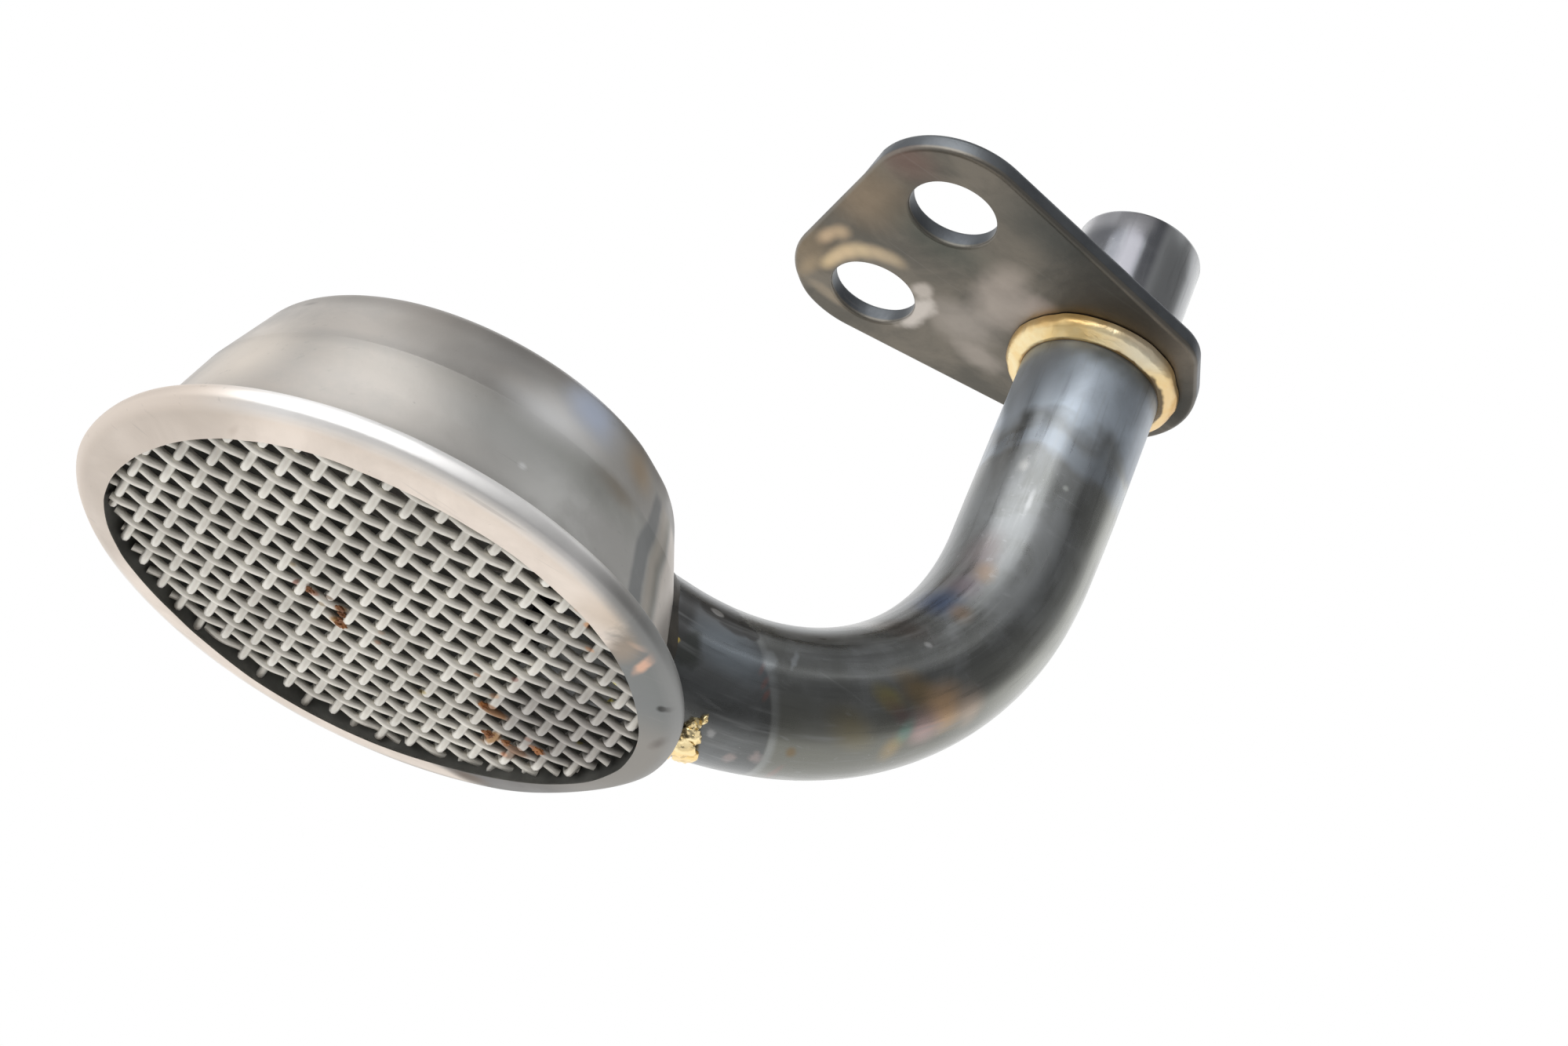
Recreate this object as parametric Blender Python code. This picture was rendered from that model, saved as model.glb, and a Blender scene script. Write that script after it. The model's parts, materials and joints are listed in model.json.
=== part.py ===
# Oil pickup tube: strainer cup with a woven screen, bent suction pipe and bolted flange.
# Metres, +Z up as installed, with the screen facing down into the sump.
# The frame's zero lies on the flange's pump-side face, midway between the two bolt holes.
# +X points from the strainer cup towards the upright leg of the pipe.

import math

import bmesh
import bpy
from mathutils import Vector

# Clearance between pieces that are brazed or crimped together
SEAT_GAP = 0.0003

# Strainer cup, measured from the middle of its rolled rim, on the cup's axis
SHEET = 0.0006
RIM_RADIUS = 0.02477
RIM_TOP = 0.00056
RIM_TOP_ROUND = 0.00045
RIM_FACE_DROP = 0.00089
RIM_FACE_ROUND = 0.0015
LIP_WIDTH = 0.00343
LIP_RADIUS = RIM_RADIUS - LIP_WIDTH
LIP_DROP = 0.00167
RIM_SHELF = 0.00215
WALL_RADIUS = RIM_RADIUS - RIM_SHELF
WALL_FOOT_ROUND = 0.0012
WALL_DRAFT = 0.00247
SHOULDER_RADIUS = WALL_RADIUS - WALL_DRAFT
SHOULDER_HEIGHT = 0.00921
BACK_DRAFT = 0.00245
BACK_RADIUS = SHOULDER_RADIUS - BACK_DRAFT
BACK_HEIGHT = 0.01555
BACK_ROUND = 0.002
CROWN_SLOPE = 0.0087
CROWN_RADIUS = BACK_RADIUS - CROWN_SLOPE
CROWN_RISE = 0.0005
CROWN_ROUND = 0.012
PINCH_CHORD = 0.0057
PINCH_START = BACK_RADIUS - PINCH_CHORD
PINCH_BLEND = 0.0016
PINCH_DEPTH = 0.00045
PINCH_FOOT = 0.0012

# Pipe with its reduced end
PIPE_RADIUS = 0.00635
PIPE_BORE = 0.00515
PIPE_HEIGHT = 0.00881
BEND_LEAD = 0.00014
BEND_START = SHOULDER_RADIUS + BEND_LEAD
BEND_RADIUS = 0.02672
STUB_RADIUS = 0.0059
STUB_LENGTH = 0.01291
STUB_CHAMFER = 0.0004

# Flange plate, measured from the axis of the pipe's upright leg
FLANGE_HEIGHT = 0.05733
FLANGE_THICK = 0.00188
FLANGE_NOSE = 0.0097
FLANGE_REACH = 0.02037
FLANGE_SPREAD = 0.01426
FLANGE_CORNER = 0.00788
FLANGE_TURN = math.radians(1.2)
FLANGE_EDGE = 0.0004
BOLT_REACH = 0.01987
BOLT_SPREAD = 0.01545
BOLT_TURN = math.radians(3.35)
BOLT_RADIUS = 0.004

# Braze fillets
COLLAR_LEG = 0.00146
COLLAR_TOE = 0.0012
SADDLE_LEG = 0.0011
SADDLE_TOE = 0.0013

# Woven screen
SCREEN_PITCH = 0.0033
SCREEN_WIRE = 0.0012
SCREEN_CRIMP = 0.00062
SCREEN_WEB = 0.00018
SCREEN_RIM = 0.0009
SCREEN_RIM_THICK = 0.0007

# Smoothness of the round forms
CUP_STEPS = 64
PIPE_STEPS = 28
BEND_STEPS = 15
HOLE_STEPS = 28
PLATE_STEPS = 52


def clear_scene():
    for obj in list(bpy.data.objects):
        bpy.data.objects.remove(obj, do_unlink=True)


def make_material(name, color, roughness, metallic):
    mat = bpy.data.materials.new(name)
    mat.use_nodes = True
    shader = mat.node_tree.nodes["Principled BSDF"]
    shader.inputs["Base Color"].default_value = (*color, 1.0)
    shader.inputs["Roughness"].default_value = roughness
    shader.inputs["Metallic"].default_value = metallic
    return mat


def make_object(name, bm, mat, parent=None, place=(0.0, 0.0, 0.0), sharp=32.0):
    bmesh.ops.recalc_face_normals(bm, faces=bm.faces)
    mesh = bpy.data.meshes.new(name)
    bm.to_mesh(mesh)
    bm.free()
    if mat is not None:
        mesh.materials.append(mat)
    mesh.shade_smooth()
    mesh.set_sharp_from_angle(angle=math.radians(sharp))
    obj = bpy.data.objects.new(name, mesh)
    bpy.context.scene.collection.objects.link(obj)
    obj.parent = parent
    obj.location = place
    return obj


def arc(center, radius, start, end, steps):
    points = []
    for i in range(steps + 1):
        a = start + (end - start) * i / steps
        points.append((center[0] + radius * math.cos(a), center[1] + radius * math.sin(a)))
    return points


def corner_center(before, corner, after):
    # Centre of the arc that rounds a corner (r, z, radius) between its two neighbours
    here = Vector(corner[:2])
    one = (Vector(before[:2]) - here).normalized()
    two = (Vector(after[:2]) - here).normalized()
    half = math.acos(max(-1.0, min(1.0, one.dot(two)))) / 2.0
    return here + (one + two).normalized() * (corner[2] / math.sin(half))


def rounded(corners, steps):
    # Corners are (r, z, radius); each corner with a radius becomes an arc tangent to both sides
    # An arc gets steps for a quarter turn and at least two for less
    path = []
    for i, (r, z, radius) in enumerate(corners):
        if radius <= 0.0 or i in (0, len(corners) - 1):
            path.append((r, z))
            continue
        here = Vector((r, z))
        before = (Vector(corners[i - 1][:2]) - here).normalized()
        after = (Vector(corners[i + 1][:2]) - here).normalized()
        half = math.acos(max(-1.0, min(1.0, before.dot(after)))) / 2.0
        center = corner_center(corners[i - 1], corners[i], corners[i + 1])
        first = here + before * (radius / math.tan(half)) - center
        sweep = first.angle_signed(here + after * (radius / math.tan(half)) - center)
        parts = max(2, math.ceil(steps * abs(sweep) / math.radians(90.0)))
        for k in range(parts + 1):
            a = -sweep * k / parts
            turned = Vector((first.x * math.cos(a) - first.y * math.sin(a),
                             first.x * math.sin(a) + first.y * math.cos(a)))
            path.append(tuple(center + turned))
    return path


def revolve(section, steps):
    # Closed body from a section of (r, z) points; a point on the axis becomes one pole vertex
    bm = bmesh.new()
    rows = []
    for r, z in section:
        if r < 1e-9:
            rows.append([bm.verts.new((0.0, 0.0, z))])
            continue
        row = []
        for i in range(steps):
            a = 2.0 * math.pi * i / steps
            row.append(bm.verts.new((r * math.cos(a), r * math.sin(a), z)))
        rows.append(row)
    pairs = list(zip(rows, rows[1:]))
    if len(rows[0]) > 1 and len(rows[-1]) > 1:
        pairs.append((rows[-1], rows[0]))
    for low, high in pairs:
        join_rows(bm, low, high, steps)
    return bm


def join_rows(bm, low, high, steps):
    for i in range(steps):
        j = (i + 1) % steps
        if len(low) == 1 and len(high) == 1:
            return
        if len(low) == 1:
            bm.faces.new((low[0], high[j], high[i]))
        elif len(high) == 1:
            bm.faces.new((low[i], low[j], high[0]))
        else:
            bm.faces.new((low[i], low[j], high[j], high[i]))


# Strainer cup: drawn sheet, revolved, with a folded rim and pressed flats beside the pipe

def wall_line(z):
    # Outer radius of the straight wall sections
    if z < SHOULDER_HEIGHT:
        t = (z - RIM_TOP) / (SHOULDER_HEIGHT - RIM_TOP)
        return WALL_RADIUS + (SHOULDER_RADIUS - WALL_RADIUS) * t
    t = (z - SHOULDER_HEIGHT) / (BACK_HEIGHT - SHOULDER_HEIGHT)
    return SHOULDER_RADIUS + (BACK_RADIUS - SHOULDER_RADIUS) * t


def wall_inner(z):
    slope = (WALL_RADIUS - SHOULDER_RADIUS) / (SHOULDER_HEIGHT - RIM_TOP)
    return wall_line(z) - SHEET * math.hypot(1.0, slope)


def pinch_depth(x, z):
    across = max(0.0, min(1.0, (x - PINCH_START) / PINCH_BLEND))
    up = max(0.0, min(1.0, (z - RIM_TOP) / PINCH_FOOT))
    return PINCH_DEPTH * math.sin(across * math.pi / 2.0) * up


def pinch(bm):
    for vert in bm.verts:
        r = math.hypot(vert.co.x, vert.co.y)
        if r > LIP_RADIUS / 2.0:
            k = 1.0 - pinch_depth(vert.co.x, vert.co.z) / r
            vert.co.x *= k
            vert.co.y *= k


def lip_slope():
    face_end = RIM_RADIUS - RIM_FACE_ROUND * 0.62
    return (LIP_DROP - RIM_FACE_DROP) / (face_end - LIP_RADIUS)


def lip_inner(r):
    # Height of the lip's inner surface
    thick = SHEET * math.hypot(1.0, lip_slope())
    return -LIP_DROP + thick + (r - LIP_RADIUS) * lip_slope()


def cup_section():
    crown = BACK_HEIGHT + CROWN_RISE
    outer = rounded([
        (0.0, crown, 0.0),
        (CROWN_RADIUS, crown, CROWN_ROUND),
        (BACK_RADIUS, BACK_HEIGHT, BACK_ROUND),
        (SHOULDER_RADIUS, SHOULDER_HEIGHT, 0.0),
        (WALL_RADIUS, RIM_TOP, WALL_FOOT_ROUND),
        (RIM_RADIUS, RIM_TOP, RIM_TOP_ROUND),
        (RIM_RADIUS, -RIM_FACE_DROP + (RIM_RADIUS - LIP_RADIUS) * 0.12, RIM_FACE_ROUND * 0.6),
        (LIP_RADIUS, -LIP_DROP, 0.0)], 4)
    fold = LIP_RADIUS
    for _ in range(12):
        fold = wall_inner(lip_inner(fold))
    inner = rounded([
        (LIP_RADIUS, lip_inner(LIP_RADIUS), 0.0),
        (fold, lip_inner(fold), 0.0),
        (wall_inner(SHOULDER_HEIGHT), SHOULDER_HEIGHT - SHEET * 0.1, 0.0),
        (BACK_RADIUS - SHEET * 0.86, BACK_HEIGHT - SHEET, BACK_ROUND - SHEET),
        (CROWN_RADIUS, crown - SHEET, CROWN_ROUND - SHEET),
        (0.0, crown - SHEET, 0.0)], 4)
    return outer + inner


def back_edge(z, off=0.0):
    # Outer radius of the rounded back edge at a height, or of the wall below it, moved out by off
    center = corner_center((CROWN_RADIUS, BACK_HEIGHT + CROWN_RISE),
                           (BACK_RADIUS, BACK_HEIGHT, BACK_ROUND),
                           (SHOULDER_RADIUS, SHOULDER_HEIGHT))
    wall = wall_line(z) + off * 1.08
    rise = min(z - center.y, (BACK_ROUND + off) * 0.98)
    if rise < 0.0:
        return wall
    return min(wall, center.x + math.sqrt((BACK_ROUND + off) ** 2 - rise ** 2))


def pipe_hole_start():
    # Where the pipe's hole leaves the rounded back edge of the cup
    return back_edge(PIPE_HEIGHT + PIPE_RADIUS + SEAT_GAP) - PINCH_DEPTH


# Pipe: rings along a straight run, a quarter bend, an upright leg and the reduced end

def pipe_rings():
    # Stations along the path: centre and the direction across it in the bend's plane
    start = pipe_hole_start() + SEAT_GAP
    path = [(Vector((start, 0.0, PIPE_HEIGHT)), Vector((0.0, 0.0, 1.0)))]
    pivot = Vector((BEND_START, 0.0, PIPE_HEIGHT + BEND_RADIUS))
    for i in range(BEND_STEPS + 1):
        a = math.radians(90.0) * i / BEND_STEPS
        out = Vector((-math.sin(a), 0.0, math.cos(a)))
        path.append((pivot - out * BEND_RADIUS, out))
    return path


def pipe_body():
    bm = bmesh.new()
    axis_x = BEND_START + BEND_RADIUS
    shoulder = FLANGE_HEIGHT - SEAT_GAP
    end = FLANGE_HEIGHT + FLANGE_THICK + STUB_LENGTH
    side = Vector((-1.0, 0.0, 0.0))
    outer = [(c, n, PIPE_RADIUS) for c, n in pipe_rings()]
    outer.append((Vector((axis_x, 0.0, shoulder)), side, PIPE_RADIUS))
    outer.append((Vector((axis_x, 0.0, shoulder)), side, STUB_RADIUS))
    outer.append((Vector((axis_x, 0.0, end - STUB_CHAMFER)), side, STUB_RADIUS))
    outer.append((Vector((axis_x, 0.0, end)), side, STUB_RADIUS - STUB_CHAMFER))
    inner = [(Vector((axis_x, 0.0, end)), side, PIPE_BORE)]
    inner += [(c, n, PIPE_BORE) for c, n in reversed(pipe_rings())]
    rows = []
    for center, normal, radius in outer + inner:
        row = []
        for i in range(PIPE_STEPS):
            a = 2.0 * math.pi * i / PIPE_STEPS
            across = normal * math.cos(a) + Vector((0.0, 1.0, 0.0)) * math.sin(a)
            row.append(bm.verts.new(center + across * radius))
        rows.append(row)
    for low, high in zip(rows, rows[1:] + rows[:1]):
        join_rows(bm, low, high, PIPE_STEPS)
    return bm


# Flange plate: hull of a nose circle and two corner circles, with rolled edges

def polar(reach, spread, turn):
    # Point on the flange: reach back over the cup, spread across, the flange turned by an angle
    back = Vector((-math.cos(turn), math.sin(turn)))
    across = Vector((math.sin(turn), math.cos(turn)))
    return back * reach + across * spread


def flange_outline(inset):
    half = FLANGE_SPREAD / 2.0
    circles = [(Vector((0.0, 0.0)), FLANGE_NOSE),
               (polar(FLANGE_REACH, half, FLANGE_TURN), FLANGE_CORNER),
               (polar(FLANGE_REACH, -half, FLANGE_TURN), FLANGE_CORNER)]
    points = []
    for i in range(PLATE_STEPS):
        a = 2.0 * math.pi * (i + 0.5) / PLATE_STEPS
        out = Vector((math.cos(a), math.sin(a)))
        best = max(circles, key=lambda c: c[0].dot(out) + c[1])
        points.append(best[0] + out * (best[1] - inset))
    return points


def flange_body():
    bm = bmesh.new()
    levels = [(a[1], FLANGE_EDGE - a[0]) for a in arc((0.0, 0.0), FLANGE_EDGE, -math.pi / 2.0, 0.0, 3)]
    levels = [(FLANGE_EDGE + z, inset) for z, inset in levels]
    levels += [(FLANGE_THICK - z, inset) for z, inset in reversed(levels)]
    rows = []
    for z, inset in levels:
        rows.append([bm.verts.new((p.x, p.y, z)) for p in flange_outline(inset)])
    for low, high in zip(rows, rows[1:]):
        join_rows(bm, low, high, PLATE_STEPS)
    bm.faces.new(rows[0])
    bm.faces.new(list(reversed(rows[-1])))
    return bm


def cylinder_cutter(name, radius, low, high, parent, place, along_x=False):
    section = [(0.0, low), (radius, low), (radius, high), (0.0, high)]
    bm = revolve(section, HOLE_STEPS)
    cutter = make_object(name, bm, None, parent, place)
    if along_x:
        cutter.rotation_euler = (0.0, math.radians(90.0), 0.0)
    cutter.hide_render = True
    cutter.display_type = "WIRE"
    return cutter


def cut(obj, cutter):
    mod = obj.modifiers.new("cut_" + cutter.name, "BOOLEAN")
    mod.operation = "DIFFERENCE"
    mod.solver = "EXACT"
    mod.object = cutter


# Braze fillets: a collar under the flange and a saddle where the pipe enters the cup

def collar_body():
    hug = PIPE_RADIUS + SEAT_GAP
    reach = hug + COLLAR_LEG
    top = -SEAT_GAP
    curve = arc((reach, top - COLLAR_TOE), 1.0, math.radians(90.0), math.radians(180.0), 4)
    section = [(hug, top), (reach, top)]
    for x, y in curve[1:-1]:
        section.append((reach + (x - reach) * COLLAR_LEG,
                        top - COLLAR_TOE + (y - top + COLLAR_TOE) * COLLAR_TOE - COLLAR_TOE * 0.12))
    section.append((hug + COLLAR_LEG * 0.06, top - COLLAR_TOE))
    section.append((hug, top - COLLAR_TOE))
    return revolve(section, PIPE_STEPS)


def wall_front(y, z, off):
    # Face of the cup's wall in front of the pipe, with its pressed flats, moved out by off
    r = back_edge(z, off)
    low = RIM_TOP + WALL_FOOT_ROUND - z
    if low > 0.0:
        r += WALL_FOOT_ROUND - math.sqrt(max(0.0, WALL_FOOT_ROUND ** 2 - low ** 2))
    r -= pinch_depth(RIM_RADIUS, z)
    return math.sqrt(max(0.0, r * r - y * y))


def saddle_body():
    bm = bmesh.new()
    hug = PIPE_RADIUS + SEAT_GAP
    rows = []
    for i in range(PIPE_STEPS):
        a = 2.0 * math.pi * i / PIPE_STEPS
        up = Vector((math.sin(a), -math.cos(a)))
        share = 0.3 + 0.7 * (1.0 + math.cos(a)) / 2.0
        foot = hug + SADDLE_LEG * share
        row = []
        for rho, lift in ((hug, 0.0), ((hug + foot) / 2.0, 0.0), (foot, 0.0),
                          (foot, 0.12), (hug + (foot - hug) * 0.35, 0.45), (hug + (foot - hug) * 0.08, 1.0), (hug, 1.0)):
            y = up.x * rho
            z = PIPE_HEIGHT + up.y * rho
            x = wall_front(y, z, SEAT_GAP) + SADDLE_TOE * share * lift
            row.append(bm.verts.new((x, y, z)))
        rows.append(row)
    count = len(rows[0])
    for low, high in zip(rows, rows[1:] + rows[:1]):
        join_rows(bm, low, high, count)
    return bm


# Screen: one wall of interlaced ridges with a gap in each mesh

def screen_body():
    bm = bmesh.new()
    seat = wall_inner(SCREEN_RIM_THICK / 2.0) - SEAT_GAP
    open_radius = seat - SCREEN_RIM
    count = int(open_radius / SCREEN_PITCH) + 1
    half = SCREEN_WIRE / 2.0
    lines = []
    for i in range(-count, count + 1):
        for k in (-1, 0, 1):
            lines.append((i * SCREEN_PITCH + k * half, i, k))
    top = {}
    low = {}
    size = len(lines)
    for p, (x, i, kx) in enumerate(lines):
        for q, (y, j, ky) in enumerate(lines):
            over = 1.0 if (i + j) % 2 == 0 else -1.0
            z_top, z_low = SCREEN_WEB, -SCREEN_WEB
            along_y = SCREEN_CRIMP * over
            along_x = -SCREEN_CRIMP * over
            if kx == 0 and ky == 0:
                z_top, z_low = SCREEN_CRIMP + SCREEN_WEB * 1.4, -SCREEN_CRIMP - SCREEN_WEB * 1.4
            elif kx == 0:
                z_top, z_low = ridge(along_y)
            elif ky == 0:
                z_top, z_low = ridge(along_x)
            top[p, q] = bm.verts.new((x, y, z_top))
            low[p, q] = bm.verts.new((x, y, z_low))
    is_gap = {}
    for p in range(size - 1):
        for q in range(size - 1):
            corner = max(math.hypot(lines[p + a][0], lines[q + b][0]) for a in (0, 1) for b in (0, 1))
            between = lines[p][2] == 1 and lines[q][2] == 1
            is_gap[p, q] = between and corner <= open_radius
    for (p, q), gap in is_gap.items():
        if not gap:
            quad(bm, top, p, q, False)
            quad(bm, low, p, q, True)
    rim_edges = [(p, q, a, b) for p in range(size - 1) for q in range(size - 1) for a, b in
                 ((-1, 0), (1, 0), (0, -1), (0, 1))
                 if not is_gap[p, q] and is_gap.get((p + a, q + b), True)]
    for p, q, a, b in rim_edges:
        first = (p + max(a, 0), q + max(b, 0))
        second = (first[0], first[1] + 1) if a else (first[0] + 1, first[1])
        bm.faces.new((top[first], top[second], low[second]))
        bm.faces.new((top[first], low[second], low[first]))
    loose = [v for v in bm.verts if not v.link_faces]
    bmesh.ops.delete(bm, geom=loose, context="VERTS")
    return bm, seat, open_radius


def ridge(height):
    # Top and bottom of a wire that runs at the given height
    thick = SCREEN_WEB * 1.4
    return (height + thick, -SCREEN_WEB * 0.6) if height > 0.0 else (SCREEN_WEB * 0.6, height - thick)


def quad(bm, grid, p, q, flip):
    a, b, c, d = grid[p, q], grid[p + 1, q], grid[p + 1, q + 1], grid[p, q + 1]
    faces = ((a, b, c), (a, c, d)) if (p + q) % 2 == 0 else ((a, b, d), (b, c, d))
    for face in faces:
        bm.faces.new(tuple(reversed(face)) if flip else face)


def main():
    clear_scene()
    steel = make_material("cup_steel", (0.47, 0.45, 0.43), 0.42, 1.0)
    wire = make_material("screen_wire", (0.42, 0.4, 0.37), 0.45, 1.0)
    oxide = make_material("pipe_oxide", (0.11, 0.13, 0.15), 0.33, 0.9)
    plate = make_material("flange_steel", (0.2, 0.18, 0.16), 0.42, 0.9)
    gold = make_material("braze_gold", (0.83, 0.62, 0.28), 0.3, 1.0)

    frame = bpy.data.objects.new("pickup_frame", None)
    bpy.context.scene.collection.objects.link(frame)
    pipe_x = BEND_START + BEND_RADIUS
    bolts = polar(BOLT_REACH, 0.0, BOLT_TURN)
    frame.location = (-pipe_x - bolts.x, -bolts.y, -FLANGE_HEIGHT - FLANGE_THICK)

    bm = revolve(cup_section(), CUP_STEPS)
    pinch(bm)
    cup = make_object("strainer_cup", bm, steel, frame)
    hole = PIPE_RADIUS + SEAT_GAP
    cut(cup, cylinder_cutter("pipe_hole", hole, pipe_hole_start(), RIM_RADIUS + SHEET,
                             frame, (0.0, 0.0, PIPE_HEIGHT), True))

    bm, seat, open_radius = screen_body()
    height = lip_inner(seat) + SEAT_GAP + SCREEN_RIM_THICK / 2.0
    screen = make_object("inlet_screen", bm, wire, frame, (0.0, 0.0, height), 20.0)
    half = SCREEN_RIM_THICK / 2.0
    edge = open_radius + SCREEN_RIM * 0.15
    trim = revolve([(0.0, -SCREEN_PITCH), (edge, -SCREEN_PITCH),
                    (edge, SCREEN_PITCH), (0.0, SCREEN_PITCH)], CUP_STEPS)
    trimmer = make_object("screen_trimmer", trim, None, frame, (0.0, 0.0, height))
    trimmer.rotation_euler.z = math.radians(1.13)
    band = revolve([(open_radius, -half), (seat, -half), (seat, half), (open_radius, half)], CUP_STEPS)
    ring = make_object("screen_band", band, None, frame, (0.0, 0.0, height))
    ring.rotation_euler.z = math.radians(0.41)
    for helper, operation in ((trimmer, "INTERSECT"), (ring, "UNION")):
        helper.hide_render = True
        helper.display_type = "WIRE"
        mod = screen.modifiers.new("cut_" + helper.name, "BOOLEAN")
        mod.operation = operation
        mod.solver = "EXACT"
        mod.object = helper

    make_object("pickup_pipe", pipe_body(), oxide, frame, sharp=25.0)

    flange = make_object("flange_plate", flange_body(), plate, frame, (pipe_x, 0.0, FLANGE_HEIGHT))
    over = FLANGE_THICK / 2.0
    cut(flange, cylinder_cutter("stub_hole", STUB_RADIUS + SEAT_GAP, -over, FLANGE_THICK + over,
                                frame, (pipe_x, 0.0, FLANGE_HEIGHT)))
    for name, side in (("bolt_hole_a", 0.5), ("bolt_hole_b", -0.5)):
        spot = polar(BOLT_REACH, BOLT_SPREAD * side, BOLT_TURN)
        cut(flange, cylinder_cutter(name, BOLT_RADIUS, -over, FLANGE_THICK + over,
                                    frame, (pipe_x + spot.x, spot.y, FLANGE_HEIGHT)))

    make_object("flange_braze", collar_body(), gold, frame, (pipe_x, 0.0, FLANGE_HEIGHT))
    make_object("cup_braze", saddle_body(), gold, frame)


main()
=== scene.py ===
import json
import math

import bmesh
import bpy
from mathutils import Matrix, Vector, noise

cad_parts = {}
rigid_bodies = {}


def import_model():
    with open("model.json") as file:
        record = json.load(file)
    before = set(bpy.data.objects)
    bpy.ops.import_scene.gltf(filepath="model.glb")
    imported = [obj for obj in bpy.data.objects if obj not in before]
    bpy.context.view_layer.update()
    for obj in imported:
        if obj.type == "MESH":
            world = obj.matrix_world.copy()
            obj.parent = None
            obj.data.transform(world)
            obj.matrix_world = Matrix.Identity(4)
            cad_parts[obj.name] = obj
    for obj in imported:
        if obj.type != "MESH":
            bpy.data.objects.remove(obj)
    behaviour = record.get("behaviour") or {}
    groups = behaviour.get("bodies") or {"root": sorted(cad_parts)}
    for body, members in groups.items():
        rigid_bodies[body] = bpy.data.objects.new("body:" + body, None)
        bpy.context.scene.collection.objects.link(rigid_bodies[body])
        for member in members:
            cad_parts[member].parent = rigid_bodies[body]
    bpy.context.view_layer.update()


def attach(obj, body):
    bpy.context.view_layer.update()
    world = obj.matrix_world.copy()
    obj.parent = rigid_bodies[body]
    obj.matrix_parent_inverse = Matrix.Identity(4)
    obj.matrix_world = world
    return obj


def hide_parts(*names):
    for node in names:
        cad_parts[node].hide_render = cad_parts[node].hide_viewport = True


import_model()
scene = bpy.context.scene

# Places in metres: CUP_AXIS lies in the part's frame, the others are measured from it
CUP_AXIS = Vector((-0.027174, -0.0011611, -0.05921))
PIPE_HEIGHT = 0.00881
PIPE_RADIUS = 0.00635
PIPE_BORE = 0.00515
BEND_START = 0.02029
BEND_RADIUS = 0.02672
LEG_X = BEND_START + BEND_RADIUS
FLANGE_LOW = 0.05733
FLANGE_HIGH = 0.05921
STUB_TOP = 0.07212


def clean_scene_defaults():
    for obj in list(bpy.data.objects):
        if obj.type in ("CAMERA", "LIGHT"):
            bpy.data.objects.remove(obj, do_unlink=True)


clean_scene_defaults()


# Mesh helpers

def wire_profile(bm, corners, closed=False):
    # Corners are (r, z, round, segments); the joined edges lie in the XZ plane
    verts = [bm.verts.new((r, 0.0, z)) for r, z, _, _ in corners]
    edges = [bm.edges.new((a, b)) for a, b in zip(verts, verts[1:])]
    if closed:
        edges.append(bm.edges.new((verts[-1], verts[0])))
    count = len(corners)
    for i, (vert, (r, z, size, segments)) in enumerate(zip(verts, corners)):
        if size <= 0.0:
            continue
        here = Vector((r, z))
        one = (Vector(corners[i - 1][:2]) - here).normalized()
        two = (Vector(corners[(i + 1) % count][:2]) - here).normalized()
        half = math.acos(max(-1.0, min(1.0, one.dot(two)))) / 2.0
        bmesh.ops.bevel(bm, geom=[vert], offset=size / math.tan(half), offset_type="OFFSET",
                        segments=segments, profile=0.5, affect="VERTICES", material=-1)
    return bm.edges[:]


def spin_full(bm, steps):
    bmesh.ops.spin(bm, geom=bm.verts[:] + bm.edges[:], cent=(0.0, 0.0, 0.0), axis=(0.0, 0.0, 1.0),
                   angle=math.tau, steps=steps, use_merge=True)
    bmesh.ops.remove_doubles(bm, verts=bm.verts[:], dist=1e-6)


def finish_piece(name, bm, mats, place, sharp=35.0):
    bmesh.ops.translate(bm, verts=bm.verts[:], vec=Vector(place))
    bmesh.ops.recalc_face_normals(bm, faces=bm.faces[:])
    mesh = bpy.data.meshes.new(name)
    bm.to_mesh(mesh)
    bm.free()
    for mat in mats:
        mesh.materials.append(mat)
    mesh.shade_smooth()
    mesh.set_sharp_from_angle(angle=math.radians(sharp))
    obj = bpy.data.objects.new(name, mesh)
    scene.collection.objects.link(obj)
    return obj


def carve(obj, bm_cut, place):
    # Cut a helper body out of a piece, applied at once
    helper = finish_piece("carver", bm_cut, [], place)
    mod = obj.modifiers.new("carve", "BOOLEAN")
    mod.operation = "DIFFERENCE"
    mod.solver = "EXACT"
    mod.object = helper
    bpy.context.view_layer.update()
    graph = bpy.context.evaluated_depsgraph_get()
    done = bpy.data.meshes.new_from_object(obj.evaluated_get(graph))
    obj.modifiers.clear()
    old = obj.data
    obj.data = done
    done.name = obj.name
    bpy.data.meshes.remove(old)
    bpy.data.objects.remove(helper, do_unlink=True)


def wobble(point, scale, seed):
    # Smooth random value about zero
    return noise.noise(Vector(point) * scale + Vector((seed, seed * 1.7, -seed)))


# Node helpers

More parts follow.
